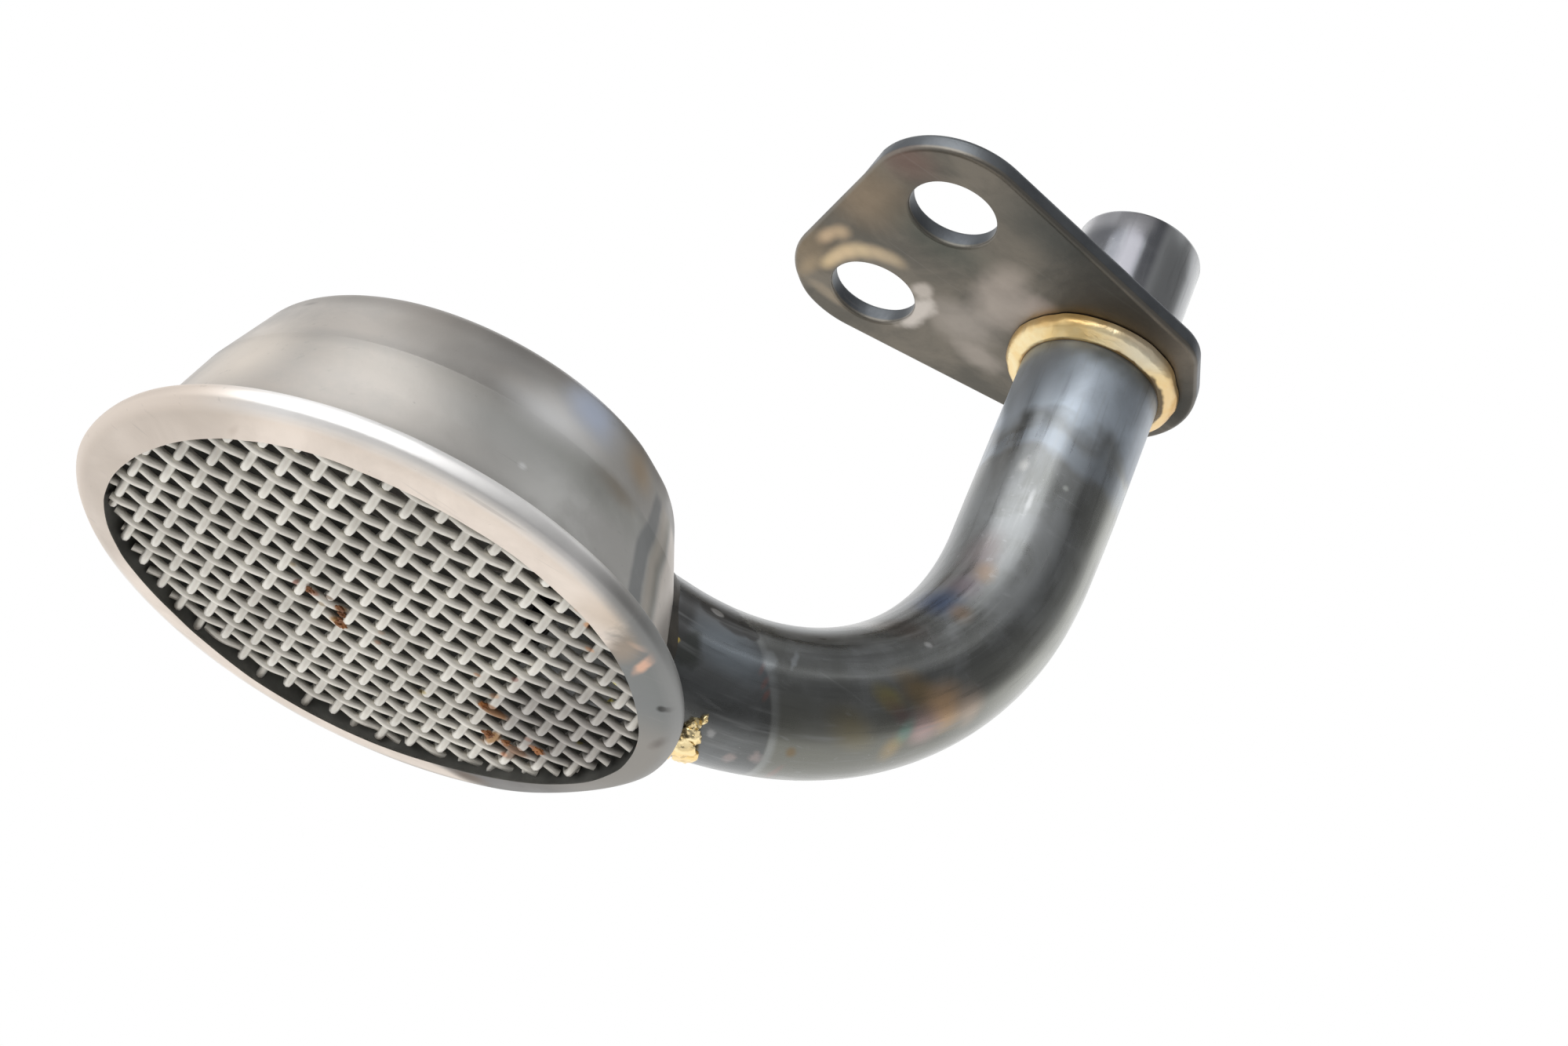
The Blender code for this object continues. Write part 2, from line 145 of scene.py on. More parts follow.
class Tree:
    def __init__(self, tree):
        self.nodes = tree.nodes
        self.links = tree.links

    def put(self, socket, value):
        if isinstance(value, bpy.types.NodeSocket):
            self.links.new(value, socket)
        else:
            socket.default_value = value

    def math(self, operation, a, b=0.0, c=0.0):
        node = self.nodes.new("ShaderNodeMath")
        node.operation = operation
        for socket, value in zip(node.inputs, (a, b, c)):
            self.put(socket, value)
        return node.outputs[0]

    def plus(self, a, b):
        return self.math("ADD", a, b)

    def minus(self, a, b):
        return self.math("SUBTRACT", a, b)

    def times(self, a, b):
        return self.math("MULTIPLY", a, b)

    def vec(self, operation, a, b=(0.0, 0.0, 0.0)):
        node = self.nodes.new("ShaderNodeVectorMath")
        node.operation = operation
        self.put(node.inputs[0], a)
        if operation == "SCALE":
            self.put(node.inputs["Scale"], b)
        else:
            self.put(node.inputs[1], b)
        return node.outputs["Value"] if operation in ("LENGTH", "DOT_PRODUCT") else node.outputs[0]

    def noise(self, vector, scale, detail=4.0, rough=0.55, warp=0.0):
        node = self.nodes.new("ShaderNodeTexNoise")
        self.put(node.inputs["Vector"], vector)
        node.inputs["Scale"].default_value = scale
        node.inputs["Detail"].default_value = detail
        node.inputs["Roughness"].default_value = rough
        node.inputs["Distortion"].default_value = warp
        return node.outputs[0]

    def sway(self, vector, scale, amount, rough=0.55):
        # Noise about zero
        return self.times(self.minus(self.noise(vector, scale, 2.0, rough), 0.5), amount)

    def span(self, value, low, high, to_low=0.0, to_high=1.0, smooth=True):
        node = self.nodes.new("ShaderNodeMapRange")
        node.interpolation_type = "SMOOTHSTEP" if smooth else "LINEAR"
        self.put(node.inputs["Value"], value)
        for socket, number in zip(("From Min", "From Max", "To Min", "To Max"), (low, high, to_low, to_high)):
            self.put(node.inputs[socket], number)
        return node.outputs[0]

    def mix(self, factor, a, b):
        node = self.nodes.new("ShaderNodeMix")
        node.data_type = "RGBA"
        self.put(node.inputs[0], factor)
        for socket, value in zip((node.inputs[6], node.inputs[7]), (a, b)):
            if isinstance(value, tuple) and len(value) == 3:
                value = (*value, 1.0)
            self.put(socket, value)
        return node.outputs[2]

    def mixf(self, factor, a, b):
        node = self.nodes.new("ShaderNodeMix")
        node.data_type = "FLOAT"
        self.put(node.inputs[0], factor)
        self.put(node.inputs[2], a)
        self.put(node.inputs[3], b)
        return node.outputs[0]

    def split(self, vector):
        node = self.nodes.new("ShaderNodeSeparateXYZ")
        self.put(node.inputs[0], vector)
        return node.outputs

    def join(self, x, y, z):
        node = self.nodes.new("ShaderNodeCombineXYZ")
        for socket, value in zip(node.inputs, (x, y, z)):
            self.put(socket, value)
        return node.outputs[0]

    def group(self, group, **values):
        node = self.nodes.new("ShaderNodeGroup")
        node.node_tree = group
        for name, value in values.items():
            self.put(node.inputs[name.replace("_", " ")], value)
        return node.outputs


def new_group(name, inputs, outputs):
    group = bpy.data.node_groups.new(name, "ShaderNodeTree")
    for label, kind, default in inputs:
        socket = group.interface.new_socket(label, in_out="INPUT", socket_type="NodeSocket" + kind)
        if default is not None:
            socket.default_value = default
    for label, kind in outputs:
        group.interface.new_socket(label, in_out="OUTPUT", socket_type="NodeSocket" + kind)
    tree = Tree(group)
    source = tree.nodes.new("NodeGroupInput")
    target = tree.nodes.new("NodeGroupOutput")
    return group, tree, source.outputs, target.inputs


def new_material(name, roughness, metallic=1.0):
    mat = bpy.data.materials.new(name)
    mat.use_nodes = True
    tree = Tree(mat.node_tree)
    shader = tree.nodes["Principled BSDF"]
    shader.inputs["Roughness"].default_value = roughness
    shader.inputs["Metallic"].default_value = metallic
    coords = tree.nodes.new("ShaderNodeTexCoord").outputs["Object"]
    return mat, tree, shader, coords


def bump(tree, shader, height, strength, distance):
    node = tree.nodes.new("ShaderNodeBump")
    node.inputs["Strength"].default_value = strength
    node.inputs["Distance"].default_value = distance
    tree.put(node.inputs["Height"], height)
    tree.put(shader.inputs["Normal"], node.outputs[0])


# Shared effects: a soft-edged spot with ragged sides, and fine grain with scratches

def make_spot_group():
    group, tree, given, result = new_group(
        "spot_mask",
        [("Point", "Vector", None), ("Centre", "Vector", None), ("Size", "Vector", (0.001, 0.001, 0.001)),
         ("Soft", "Float", 0.5), ("Ragged", "Float", 0.3), ("Ragged Scale", "Float", 600.0)],
        [("Mask", "Float")])
    away = tree.vec("DIVIDE", tree.vec("SUBTRACT", given["Point"], given["Centre"]), given["Size"])
    length = tree.vec("LENGTH", away)
    grain = tree.nodes.new("ShaderNodeTexNoise")
    grain.inputs["Detail"].default_value = 3.0
    tree.put(grain.inputs["Vector"], given["Point"])
    tree.put(grain.inputs["Scale"], given["Ragged Scale"])
    lumps = tree.times(tree.minus(grain.outputs[0], 0.5), tree.times(given["Ragged"], 4.0))
    reach = tree.plus(length, lumps)
    low = tree.minus(1.0, given["Soft"])
    high = tree.plus(1.0, tree.times(given["Soft"], 0.6))
    tree.put(result["Mask"], tree.span(reach, low, high, 1.0, 0.0))
    return group


def make_grain_group():
    group, tree, given, result = new_group(
        "metal_grain",
        [("Point", "Vector", None), ("Scale", "Float", 1.0)],
        [("Mottle", "Float"), ("Fine", "Float"), ("Scratch", "Float")])
    point = tree.vec("SCALE", given["Point"], given["Scale"])
    tree.put(result["Mottle"], tree.noise(point, 140.0, 5.0, 0.6, 0.4))
    tree.put(result["Fine"], tree.noise(point, 2600.0, 3.0, 0.6))
    turned = tree.nodes.new("ShaderNodeMapping")
    turned.inputs["Rotation"].default_value = (0.5, 0.9, 0.4)
    turned.inputs["Scale"].default_value = (60.0, 1500.0, 1500.0)
    tree.put(turned.inputs["Vector"], point)
    streak = tree.noise(turned.outputs[0], 1.0, 2.0, 0.5)
    tree.put(result["Scratch"], tree.span(streak, 0.66, 0.74))
    return group


SPOT = make_spot_group()
GRAIN = make_grain_group()


def spot(tree, point, centre, size, soft, ragged, scale, amount):
    # Mask around a place given in millimetres
    metres = [tuple(value / 1000.0 for value in values) for values in (centre, size)]
    mask = tree.group(SPOT, Point=point, Centre=metres[0], Size=metres[1], Soft=soft,
                      Ragged=ragged, Ragged_Scale=scale)["Mask"]
    return tree.times(mask, amount)


# Materials

def flat_marks(level, depth, marks):
    # Marks on a flat side, listed without the height and depth they share
    return tuple(((*centre, level), (*size, depth), *rest) for centre, size, *rest in marks)


def paint(tree, point, color, marks):
    # Lay spots over a colour: each mark is (centre mm, size mm, soft, ragged, scale, amount, colour)
    for centre, size, soft, ragged, scale, amount, tint in marks:
        color = tree.mix(spot(tree, point, centre, size, soft, ragged, scale, amount), color, tint)
    return color


# Spots on the cup's wall: heat tints and small marks, with broad patches of painted light (the pale grey
# ones) and painted shade (the darker grey ones)
CUP_TINTS_AND_LIGHT = (
    ((-25.6, -20.9, -48.9), (3.8, 3.0, 2.2), 0.9, 0.10, 200.0, 0.85, (0.80, 0.80, 0.80)),
    ((-22.6, -19.3, -46.0), (2.6, 2.6, 2.2), 0.9, 0.12, 250.0, 0.85, (0.50, 0.56, 0.69)),
    ((-19.6, -18.4, -46.9), (2.0, 2.4, 2.2), 0.9, 0.10, 200.0, 0.6, (0.46, 0.45, 0.43)),
    ((-17.3, -17.4, -46.6), (1.7, 2.4, 1.8), 0.9, 0.12, 250.0, 0.8, (0.44, 0.35, 0.25)),
    ((-18.8, -19.6, -50.6), (2.2, 2.4, 1.0), 0.9, 0.15, 300.0, 0.7, (0.25, 0.205, 0.15)),
    ((-21.0, -20.8, -51.6), (4.2, 2.6, 1.8), 0.9, 0.10, 200.0, 0.55, (0.30, 0.30, 0.28)),
    ((-36.1, -17.4, -45.8), (4.0, 3.0, 3.0), 0.9, 0.10, 200.0, 0.45, (0.26, 0.235, 0.21)),
    ((-27.5, -20.8, -52.9), (5.0, 3.0, 2.4), 0.9, 0.12, 150.0, 0.45, (0.50, 0.51, 0.50)),
    ((-32.5, -20.0, -50.5), (3.6, 3.0, 1.4), 0.9, 0.12, 200.0, 0.45, (0.34, 0.325, 0.30)),
    ((-47.0, -12.0, -52.0), (3.6, 5.0, 5.0), 0.9, 0.08, 150.0, 0.8, (0.86, 0.78, 0.69)),
    ((-26.3, -22.6, -54.8), (0.35, 0.4, 0.3), 0.8, 0.20, 900.0, 0.7, (0.80, 0.80, 0.80)),
    ((-43.5, -9.5, -45.4), (0.7, 0.7, 0.25), 0.8, 0.20, 900.0, 0.6, (0.22, 0.20, 0.19)),
    ((-29.0, -23.0, -47.6), (5.0, 3.0, 1.2), 0.9, 0.15, 250.0, 0.4, (0.52, 0.47, 0.41)))

LIP_MARKS = (
    ((-11.05, -19.0, -60.6), (0.48, 2.2, 1.4), 0.5, 0.20, 700.0, 0.8, (0.80, 0.50, 0.36)),
    ((-12.3, -19.9, -60.6), (0.9, 0.35, 1.4), 0.7, 0.20, 700.0, 0.6, (0.70, 0.50, 0.40)),
    ((-7.2, -13.7, -60.5), (0.42, 0.46, 1.4), 0.5, 0.20, 900.0, 0.95, (0.04, 0.04, 0.038)),
    ((-6.8, -14.0, -60.5), (0.44, 0.46, 1.4), 0.5, 0.20, 900.0, 0.95, (0.04, 0.04, 0.038)),
    ((-6.4, -14.2, -60.5), (0.38, 0.42, 1.4), 0.5, 0.20, 900.0, 0.9, (0.05, 0.05, 0.045)),
    ((-13.2, -19.0, -60.6), (1.3, 2.4, 1.4), 0.8, 0.15, 300.0, 0.6, (0.40, 0.31, 0.23)),
    ((-11.4, 14.9, -60.3), (1.7, 1.3, 1.2), 0.8, 0.15, 400.0, 0.85, (0.15, 0.11, 0.08)),
    ((-4.9, -8.6, -60.3), (0.5, 1.2, 1.0), 0.8, 0.25, 700.0, 0.6, (0.13, 0.11, 0.10)),
    ((-6.2, -7.0, -60.4), (0.35, 0.35, 0.8), 0.7, 0.25, 900.0, 0.6, (0.42, 0.27, 0.17)),
    ((-16.0, -21.4, -60.6), (2.6, 1.6, 1.4), 0.9, 0.15, 300.0, 0.45, (0.50, 0.40, 0.30)),
    ((-44.0, -15.5, -60.2), (0.35, 1.0, 0.8), 0.7, 0.20, 600.0, 0.35, (0.38, 0.30, 0.24)))


def between(tree, turn, lean, low, high, soft):
    # One painted reflection streak down the wall; each side is its angle at the back edge and how far it
    # leans
    left = tree.minus(turn, tree.math("MULTIPLY_ADD", lean, low[1], low[0]))
    right = tree.minus(turn, tree.math("MULTIPLY_ADD", lean, high[1], high[0]))
    return tree.times(tree.span(left, -soft, soft), tree.span(right, soft, -soft))


# Light and dark streaks down the wall beside the pipe, painted in as the dented wall's reflections
def painted_dent_reflections(tree, point, z, wall):
    around_x, around_y, _ = tree.split(tree.vec("SUBTRACT", point, tuple(CUP_AXIS)))
    turn = tree.math("DEGREES", tree.math("ARCTAN2", around_y, around_x))
    turn = tree.plus(turn, tree.sway(point, 300.0, 1.6))
    lean = tree.span(z, -0.0465, -0.0522, 0.0, 1.0, False)
    inside = tree.span(z, -0.0458, -0.0470)
    for low, high, soft, amount, color in (
            ((-50.0, -5.8), (-46.0, -4.5), 1.0, 0.75, (0.19, 0.20, 0.205)),
            ((-45.0, -4.5), (-39.0, -6.5), 1.6, 0.6, (0.46, 0.41, 0.35)),
            ((-41.5, -5.0), (-38.5, -5.5), 1.5, 0.5, (0.20, 0.195, 0.16)),
            ((-37.5, -5.5), (-18.0, -4.0), 1.8, 0.75, (0.72, 0.66, 0.60))):
        share = tree.times(between(tree, turn, lean, low, high, soft), inside)
        wall = tree.mix(tree.times(share, amount), wall, color)
    return wall


def cup_steel():
    mat, tree, shader, point = new_material("cup_steel", 0.38)
    grain = tree.group(GRAIN, Point=point, Scale=1.0)
    x, y, z = tree.split(point)
    cloud = tree.span(grain["Mottle"], 0.35, 0.68)
    # Painted light: the wall is warmer on the lit side away from the pipe
    wall = tree.mix(tree.span(x, -0.020, -0.046), (0.54, 0.54, 0.525), (0.53, 0.485, 0.44))
    wall = tree.mix(tree.times(cloud, 0.55), wall, (0.40, 0.39, 0.375))
    # Painted shade: darker toward the pipe
    wall = tree.mix(tree.span(x, -0.018, -0.011, 0.0, 0.6), wall, (0.32, 0.31, 0.29))
    # Painted shade in the crease and along the foot where the wall meets the bead
    crease = tree.times(tree.span(z, -0.0512, -0.0502), tree.span(z, -0.0488, -0.0498))
    wall = tree.mix(tree.times(crease, 0.35), wall, (0.30, 0.29, 0.28))
    foot = tree.times(tree.span(z, -0.0562, -0.0585), tree.span(z, -0.0592, -0.0588))
    wall = tree.mix(tree.times(foot, 0.55), wall, (0.22, 0.215, 0.205))
    below = tree.times(tree.span(z, -0.0497, -0.0502), tree.span(z, -0.0545, -0.0515))
    shade = tree.times(below, tree.span(x, -0.034, -0.022, 0.15, 0.5))
    wall = tree.mix(shade, wall, (0.30, 0.30, 0.28))
    # Painted shade over the zone above the crease, most toward the pipe, and darker toward the back edge
    upper = tree.span(z, -0.0505, -0.0488)
    wall = tree.mix(tree.times(upper, tree.span(x, -0.041, -0.030, 0.15, 0.6)), wall, (0.33, 0.315, 0.30))
    wall = tree.mix(tree.span(z, -0.0462, -0.0446, 0.0, 0.5), wall, (0.22, 0.205, 0.19))
    # Heat tints with patches of painted light and painted shade
    wall = paint(tree, point, wall, CUP_TINTS_AND_LIGHT)
    wall = painted_dent_reflections(tree, point, z, wall)
    lip = tree.mix(tree.times(cloud, 0.6), (0.80, 0.71, 0.63), (0.64, 0.57, 0.505))
    lip = tree.mix(tree.span(x, -0.041, -0.047, 0.0, 0.6), lip, (0.49, 0.43, 0.375))
    ragged = tree.times(tree.minus(grain["Mottle"], 0.5), 0.006)
    side = tree.plus(x, ragged)
    blue = tree.times(tree.span(side, -0.0150, -0.0130), tree.span(y, 0.0168, 0.0148))
    cool = tree.mix(cloud, (0.14, 0.15, 0.155), (0.185, 0.20, 0.20))
    warm = tree.mix(cloud, (0.21, 0.20, 0.185), (0.26, 0.25, 0.23))
    scorch = tree.mix(tree.span(y, -0.0135, -0.0075), cool, warm)
    scorch = tree.mix(tree.span(y, 0.004, 0.011), scorch, (0.15, 0.148, 0.145))
    lip = tree.mix(tree.times(blue, 0.93), lip, scorch)
    lip = paint(tree, point, lip, LIP_MARKS)
    # The bead's band is painted pale as its broad highlight, beige on the side away from the pipe, with
    # painted shade toward the pipe where the highlight ends
    band = tree.mix(tree.times(cloud, 0.5), (0.88, 0.87, 0.86), (0.74, 0.73, 0.72))
    band = tree.mix(tree.span(x, -0.042, -0.048), band, (0.70, 0.62, 0.55))
    band = tree.mix(tree.span(x, -0.021, -0.015, 0.0, 0.85), band, (0.27, 0.265, 0.255))
    band = tree.mix(tree.times(blue, 0.4), band, scorch)
    away = tree.vec("SUBTRACT", point, tuple(CUP_AXIS))
    radius = tree.vec("LENGTH", tree.vec("MULTIPLY", away, (1.0, 1.0, 0.0)))
    rim = tree.mix(tree.span(radius, 0.0234, 0.0246), lip, band)
    color = tree.mix(tree.span(z, -0.0584, -0.0588), wall, rim)
    scratch = tree.times(grain["Scratch"], 0.2)
    color = tree.mix(scratch, color, (0.30, 0.29, 0.28))
    dust = tree.span(grain["Fine"], 0.70, 0.78, 0.0, 0.35)
    color = tree.mix(dust, color, (0.24, 0.22, 0.20))
    tree.put(shader.inputs["Base Color"], color)
    satin = tree.span(grain["Mottle"], 0.3, 0.7, 0.36, 0.48)
    tree.put(shader.inputs["Roughness"], tree.mixf(tree.span(radius, 0.0232, 0.0242), satin, 0.5))
    height = tree.plus(grain["Mottle"], tree.times(grain["Fine"], 0.12))
    bump(tree, shader, height, 0.22, 0.0001)
    return mat


def cup_inside():
    # Dark inside faces and cut edge: partly the sheet's dark oxide, partly painted shade inside the cup
    mat, tree, shader, point = new_material("cup_inside", 0.6, 0.2)
    grain = tree.group(GRAIN, Point=point, Scale=1.0)
    color = tree.mix(tree.span(grain["Mottle"], 0.35, 0.68), (0.14, 0.14, 0.128), (0.07, 0.07, 0.063))
    tree.put(shader.inputs["Base Color"], color)
    bump(tree, shader, grain["Fine"], 0.2, 0.00005)
    return mat


# Marks on the wires, placed from the cup's axis and laid on at a slant. The first is painted shade, a darker
# zone toward the pipe; the second darkens the wires near the lip, partly rust and partly painted shade; the
# rest are stains and rust.
WIRE_STAINS_AND_SHADE = (
    ((17.2, 1.0, -0.4), (5.4, 8.4, 3.0), 0.35, 0.10, 150.0, 0.6, (0.33, 0.31, 0.30)),
    ((14.0, -10.0, -0.4), (6.0, 4.0, 3.0), 0.6, 0.15, 150.0, 0.35, (0.38, 0.36, 0.34)))
WIRE_STAINS_AND_SHADE += flat_marks(-0.6, 1.5, (
    ((12.6, 5.2), (1.4, 0.8), 0.35, 0.25, 900.0, 0.92, (0.34, 0.17, 0.07)),
    ((14.5, 9.4), (0.6, 1.5), 0.35, 0.25, 900.0, 0.92, (0.48, 0.27, 0.11)),
    ((16.6, 9.3), (1.5, 0.8), 0.35, 0.30, 900.0, 0.9, (0.32, 0.19, 0.12)),
    ((16.7, 10.4), (0.5, 1.1), 0.5, 0.30, 900.0, 0.8, (0.34, 0.22, 0.15)),
    ((17.7, 7.1), (0.8, 0.5), 0.4, 0.40, 900.0, 0.9, (0.40, 0.19, 0.10)),
    ((16.4, 6.3), (0.4, 0.4), 0.5, 0.30, 900.0, 0.7, (0.45, 0.26, 0.20)),
    ((16.3, 11.0), (0.3, 0.5), 0.5, 0.30, 900.0, 0.9, (0.85, 0.52, 0.36)),
    ((11.6, -15.0), (0.35, 0.6), 0.5, 0.30, 900.0, 0.9, (0.85, 0.50, 0.28)),
    ((7.0, -17.3), (0.5, 0.5), 0.5, 0.20, 900.0, 0.7, (0.90, 0.66, 0.54)),
    ((10.2, -16.0), (0.3, 0.3), 0.5, 0.30, 900.0, 0.8, (0.80, 0.46, 0.26)),
    ((13.2, -11.9), (0.35, 0.3), 0.5, 0.30, 900.0, 0.8, (0.80, 0.50, 0.32)),
    ((11.6, -1.4), (0.25, 0.5), 0.5, 0.30, 900.0, 0.7, (0.48, 0.24, 0.20)),
    ((9.4, 1.3), (0.35, 0.3), 0.5, 0.30, 900.0, 0.8, (0.82, 0.52, 0.34)),
    ((11.7, 2.9), (0.3, 0.5), 0.5, 0.30, 900.0, 0.8, (0.74, 0.50, 0.33)),
    ((7.8, 8.9), (0.35, 0.4), 0.5, 0.30, 900.0, 0.8, (0.52, 0.42, 0.18)),
    ((16.6, -8.9), (0.25, 0.5), 0.4, 0.40, 1200.0, 0.95, (0.80, 0.72, 0.12)),
    ((17.5, -6.9), (0.4, 0.45), 0.4, 0.40, 1200.0, 0.95, (0.80, 0.72, 0.14)),
    ((19.2, 1.8), (0.25, 0.6), 0.4, 0.40, 1200.0, 0.8, (0.60, 0.52, 0.16)),
    ((-4.1, 4.0), (0.45, 0.5), 0.5, 0.30, 900.0, 0.9, (0.56, 0.30, 0.21)),
    ((-2.9, 3.4), (0.5, 0.3), 0.5, 0.20, 900.0, 0.8, (0.22, 0.14, 0.08)),
    ((-1.6, 4.1), (0.5, 0.7), 0.5, 0.30, 900.0, 0.9, (0.44, 0.26, 0.11)),
    ((-1.2, 6.0), (0.6, 0.8), 0.5, 0.30, 900.0, 0.9, (0.54, 0.30, 0.10)),
    ((-3.0, 5.0), (0.4, 0.3), 0.5, 0.30, 900.0, 0.6, (0.36, 0.26, 0.12)),
    ((-5.6, 4.2), (0.2, 0.8), 0.5, 0.20, 900.0, 0.8, (0.36, 0.15, 0.11)),
    ((2.3, 5.6), (0.3, 0.35), 0.5, 0.30, 900.0, 0.8, (0.85, 0.56, 0.42)),
    ((1.9, 3.8), (0.3, 0.4), 0.5, 0.30, 900.0, 0.5, (0.80, 0.58, 0.42)),
    ((-6.7, 1.8), (0.3, 0.4), 0.5, 0.30, 900.0, 0.6, (0.62, 0.50, 0.30))))


def wire_steel():
    mat, tree, shader, point = new_material("screen_wire", 0.5, 0.55)
    grain = tree.group(GRAIN, Point=point, Scale=1.6)
    color = tree.mix(tree.span(grain["Mottle"], 0.35, 0.68), (0.90, 0.875, 0.81), (0.70, 0.675, 0.62))
    x, y, z = tree.split(tree.vec("SUBTRACT", point, tuple(CUP_AXIS)))
    slant_point = tree.join(tree.minus(x, tree.times(z, 0.4)),
                       tree.minus(y, tree.times(z, 2.04)), -0.0006)
    color = paint(tree, slant_point, color, WIRE_STAINS_AND_SHADE)
    tree.put(shader.inputs["Base Color"], color)
    bump(tree, shader, grain["Fine"], 0.2, 0.00005)
    return mat


# Heat tints on the pipe; the first, dark mark is painted shade that narrows the highlight on the leg
PIPE_TINTS_AND_SHADE = (
    ((14.5, -5.3, -27.8), (1.6, 2.0, 2.6), 0.9, 0.10, 300.0, 0.55, (0.15, 0.11, 0.11)),
    ((7.7, -4.6, -39.2), (3.4, 2.4, 0.9), 0.9, 0.10, 300.0, 0.6, (0.40, 0.39, 0.38)),
    ((15.2, -6.2, -29.9), (0.9, 1.2, 1.2), 0.9, 0.15, 400.0, 0.45, (0.26, 0.15, 0.07)),
    ((13.9, -5.8, -31.8), (1.4, 1.8, 1.5), 0.9, 0.10, 300.0, 0.5, (0.16, 0.10, 0.13)),
    ((12.6, -5.5, -34.2), (1.9, 2.0, 1.8), 0.9, 0.10, 300.0, 0.75, (0.06, 0.11, 0.24)),
    ((14.3, -6.9, -34.9), (1.0, 1.2, 1.0), 0.9, 0.15, 400.0, 0.6, (0.20, 0.12, 0.06)),
    ((10.3, -6.2, -38.6), (2.6, 1.6, 1.4), 0.9, 0.15, 300.0, 0.7, (0.09, 0.065, 0.05)),
    ((11.2, -7.3, -45.6), (1.5, 1.3, 0.9), 0.8, 0.15, 500.0, 0.8, (0.30, 0.26, 0.10)),
    ((13.6, -7.3, -43.6), (2.4, 1.6, 1.3), 0.9, 0.15, 400.0, 0.75, (0.26, 0.18, 0.08)),
    ((12.8, -6.9, -45.9), (2.4, 1.4, 0.7), 0.9, 0.15, 400.0, 0.6, (0.17, 0.10, 0.10)),
    ((16.2, -6.4, -43.0), (2.1, 1.9, 2.0), 0.8, 0.12, 400.0, 0.95, (0.58, 0.38, 0.22)),
    ((18.3, -6.0, -41.3), (1.8, 1.7, 1.5), 0.9, 0.12, 400.0, 0.7, (0.52, 0.40, 0.31)),
    ((15.4, -5.7, -45.1), (1.8, 1.6, 1.5), 0.9, 0.12, 400.0, 0.75, (0.46, 0.32, 0.31)),
    ((14.1, -5.8, -46.5), (0.7, 1.2, 1.3), 0.8, 0.12, 400.0, 0.7, (0.14, 0.26, 0.22)),
    ((14.0, -4.8, -47.9), (0.9, 1.4, 1.1), 0.9, 0.15, 400.0, 0.6, (0.34, 0.25, 0.12)),
    ((9.6, -6.3, -49.2), (2.6, 1.8, 1.3), 0.9, 0.12, 300.0, 0.55, (0.24, 0.20, 0.10)),
    ((6.4, -4.5, -52.9), (0.5, 0.6, 0.4), 0.7, 0.2, 800.0, 0.8, (0.16, 0.11, 0.05)),
    ((0.5, -7.4, -49.7), (0.22, 0.9, 0.55), 0.8, 0.2, 900.0, 0.45, (0.32, 0.10, 0.07)),
    ((1.2, -7.2, -50.5), (0.24, 0.9, 0.55), 0.8, 0.2, 900.0, 0.45, (0.32, 0.10, 0.07)),
    ((1.8, -6.9, -51.2), (0.24, 0.9, 0.55), 0.8, 0.2, 900.0, 0.35, (0.32, 0.10, 0.07)),
    ((6.7, -1.6, -53.8), (0.3, 1.4, 0.9), 0.8, 0.2, 900.0, 0.4, (0.26, 0.14, 0.12)),
    ((-2.6, -7.3, -49.8), (3.6, 2.4, 1.9), 0.7, 0.12, 250.0, 0.6, (0.24, 0.28, 0.32)))

PIPE_SOOT = (
    ((-4.9, -6.9, -47.2), (1.1, 1.3, 0.8), 0.25, 0.12, 700.0, 0.9, (0.06, 0.06, 0.06)),
    ((-2.9, -7.0, -47.4), (1.6, 1.3, 0.9), 0.25, 0.12, 700.0, 0.9, (0.06, 0.06, 0.06)),
    ((-1.3, -7.0, -47.3), (0.8, 1.1, 0.7), 0.25, 0.12, 700.0, 0.9, (0.06, 0.06, 0.06)),
    ((-5.8, -7.3, -51.7), (1.5, 1.8, 1.7), 0.35, 0.35, 420.0, 0.9, (0.045, 0.05, 0.045)),
    ((-7.0, -7.4, -49.5), (1.0, 1.6, 3.6), 0.6, 0.15, 400.0, 0.85, (0.06, 0.06, 0.06)))

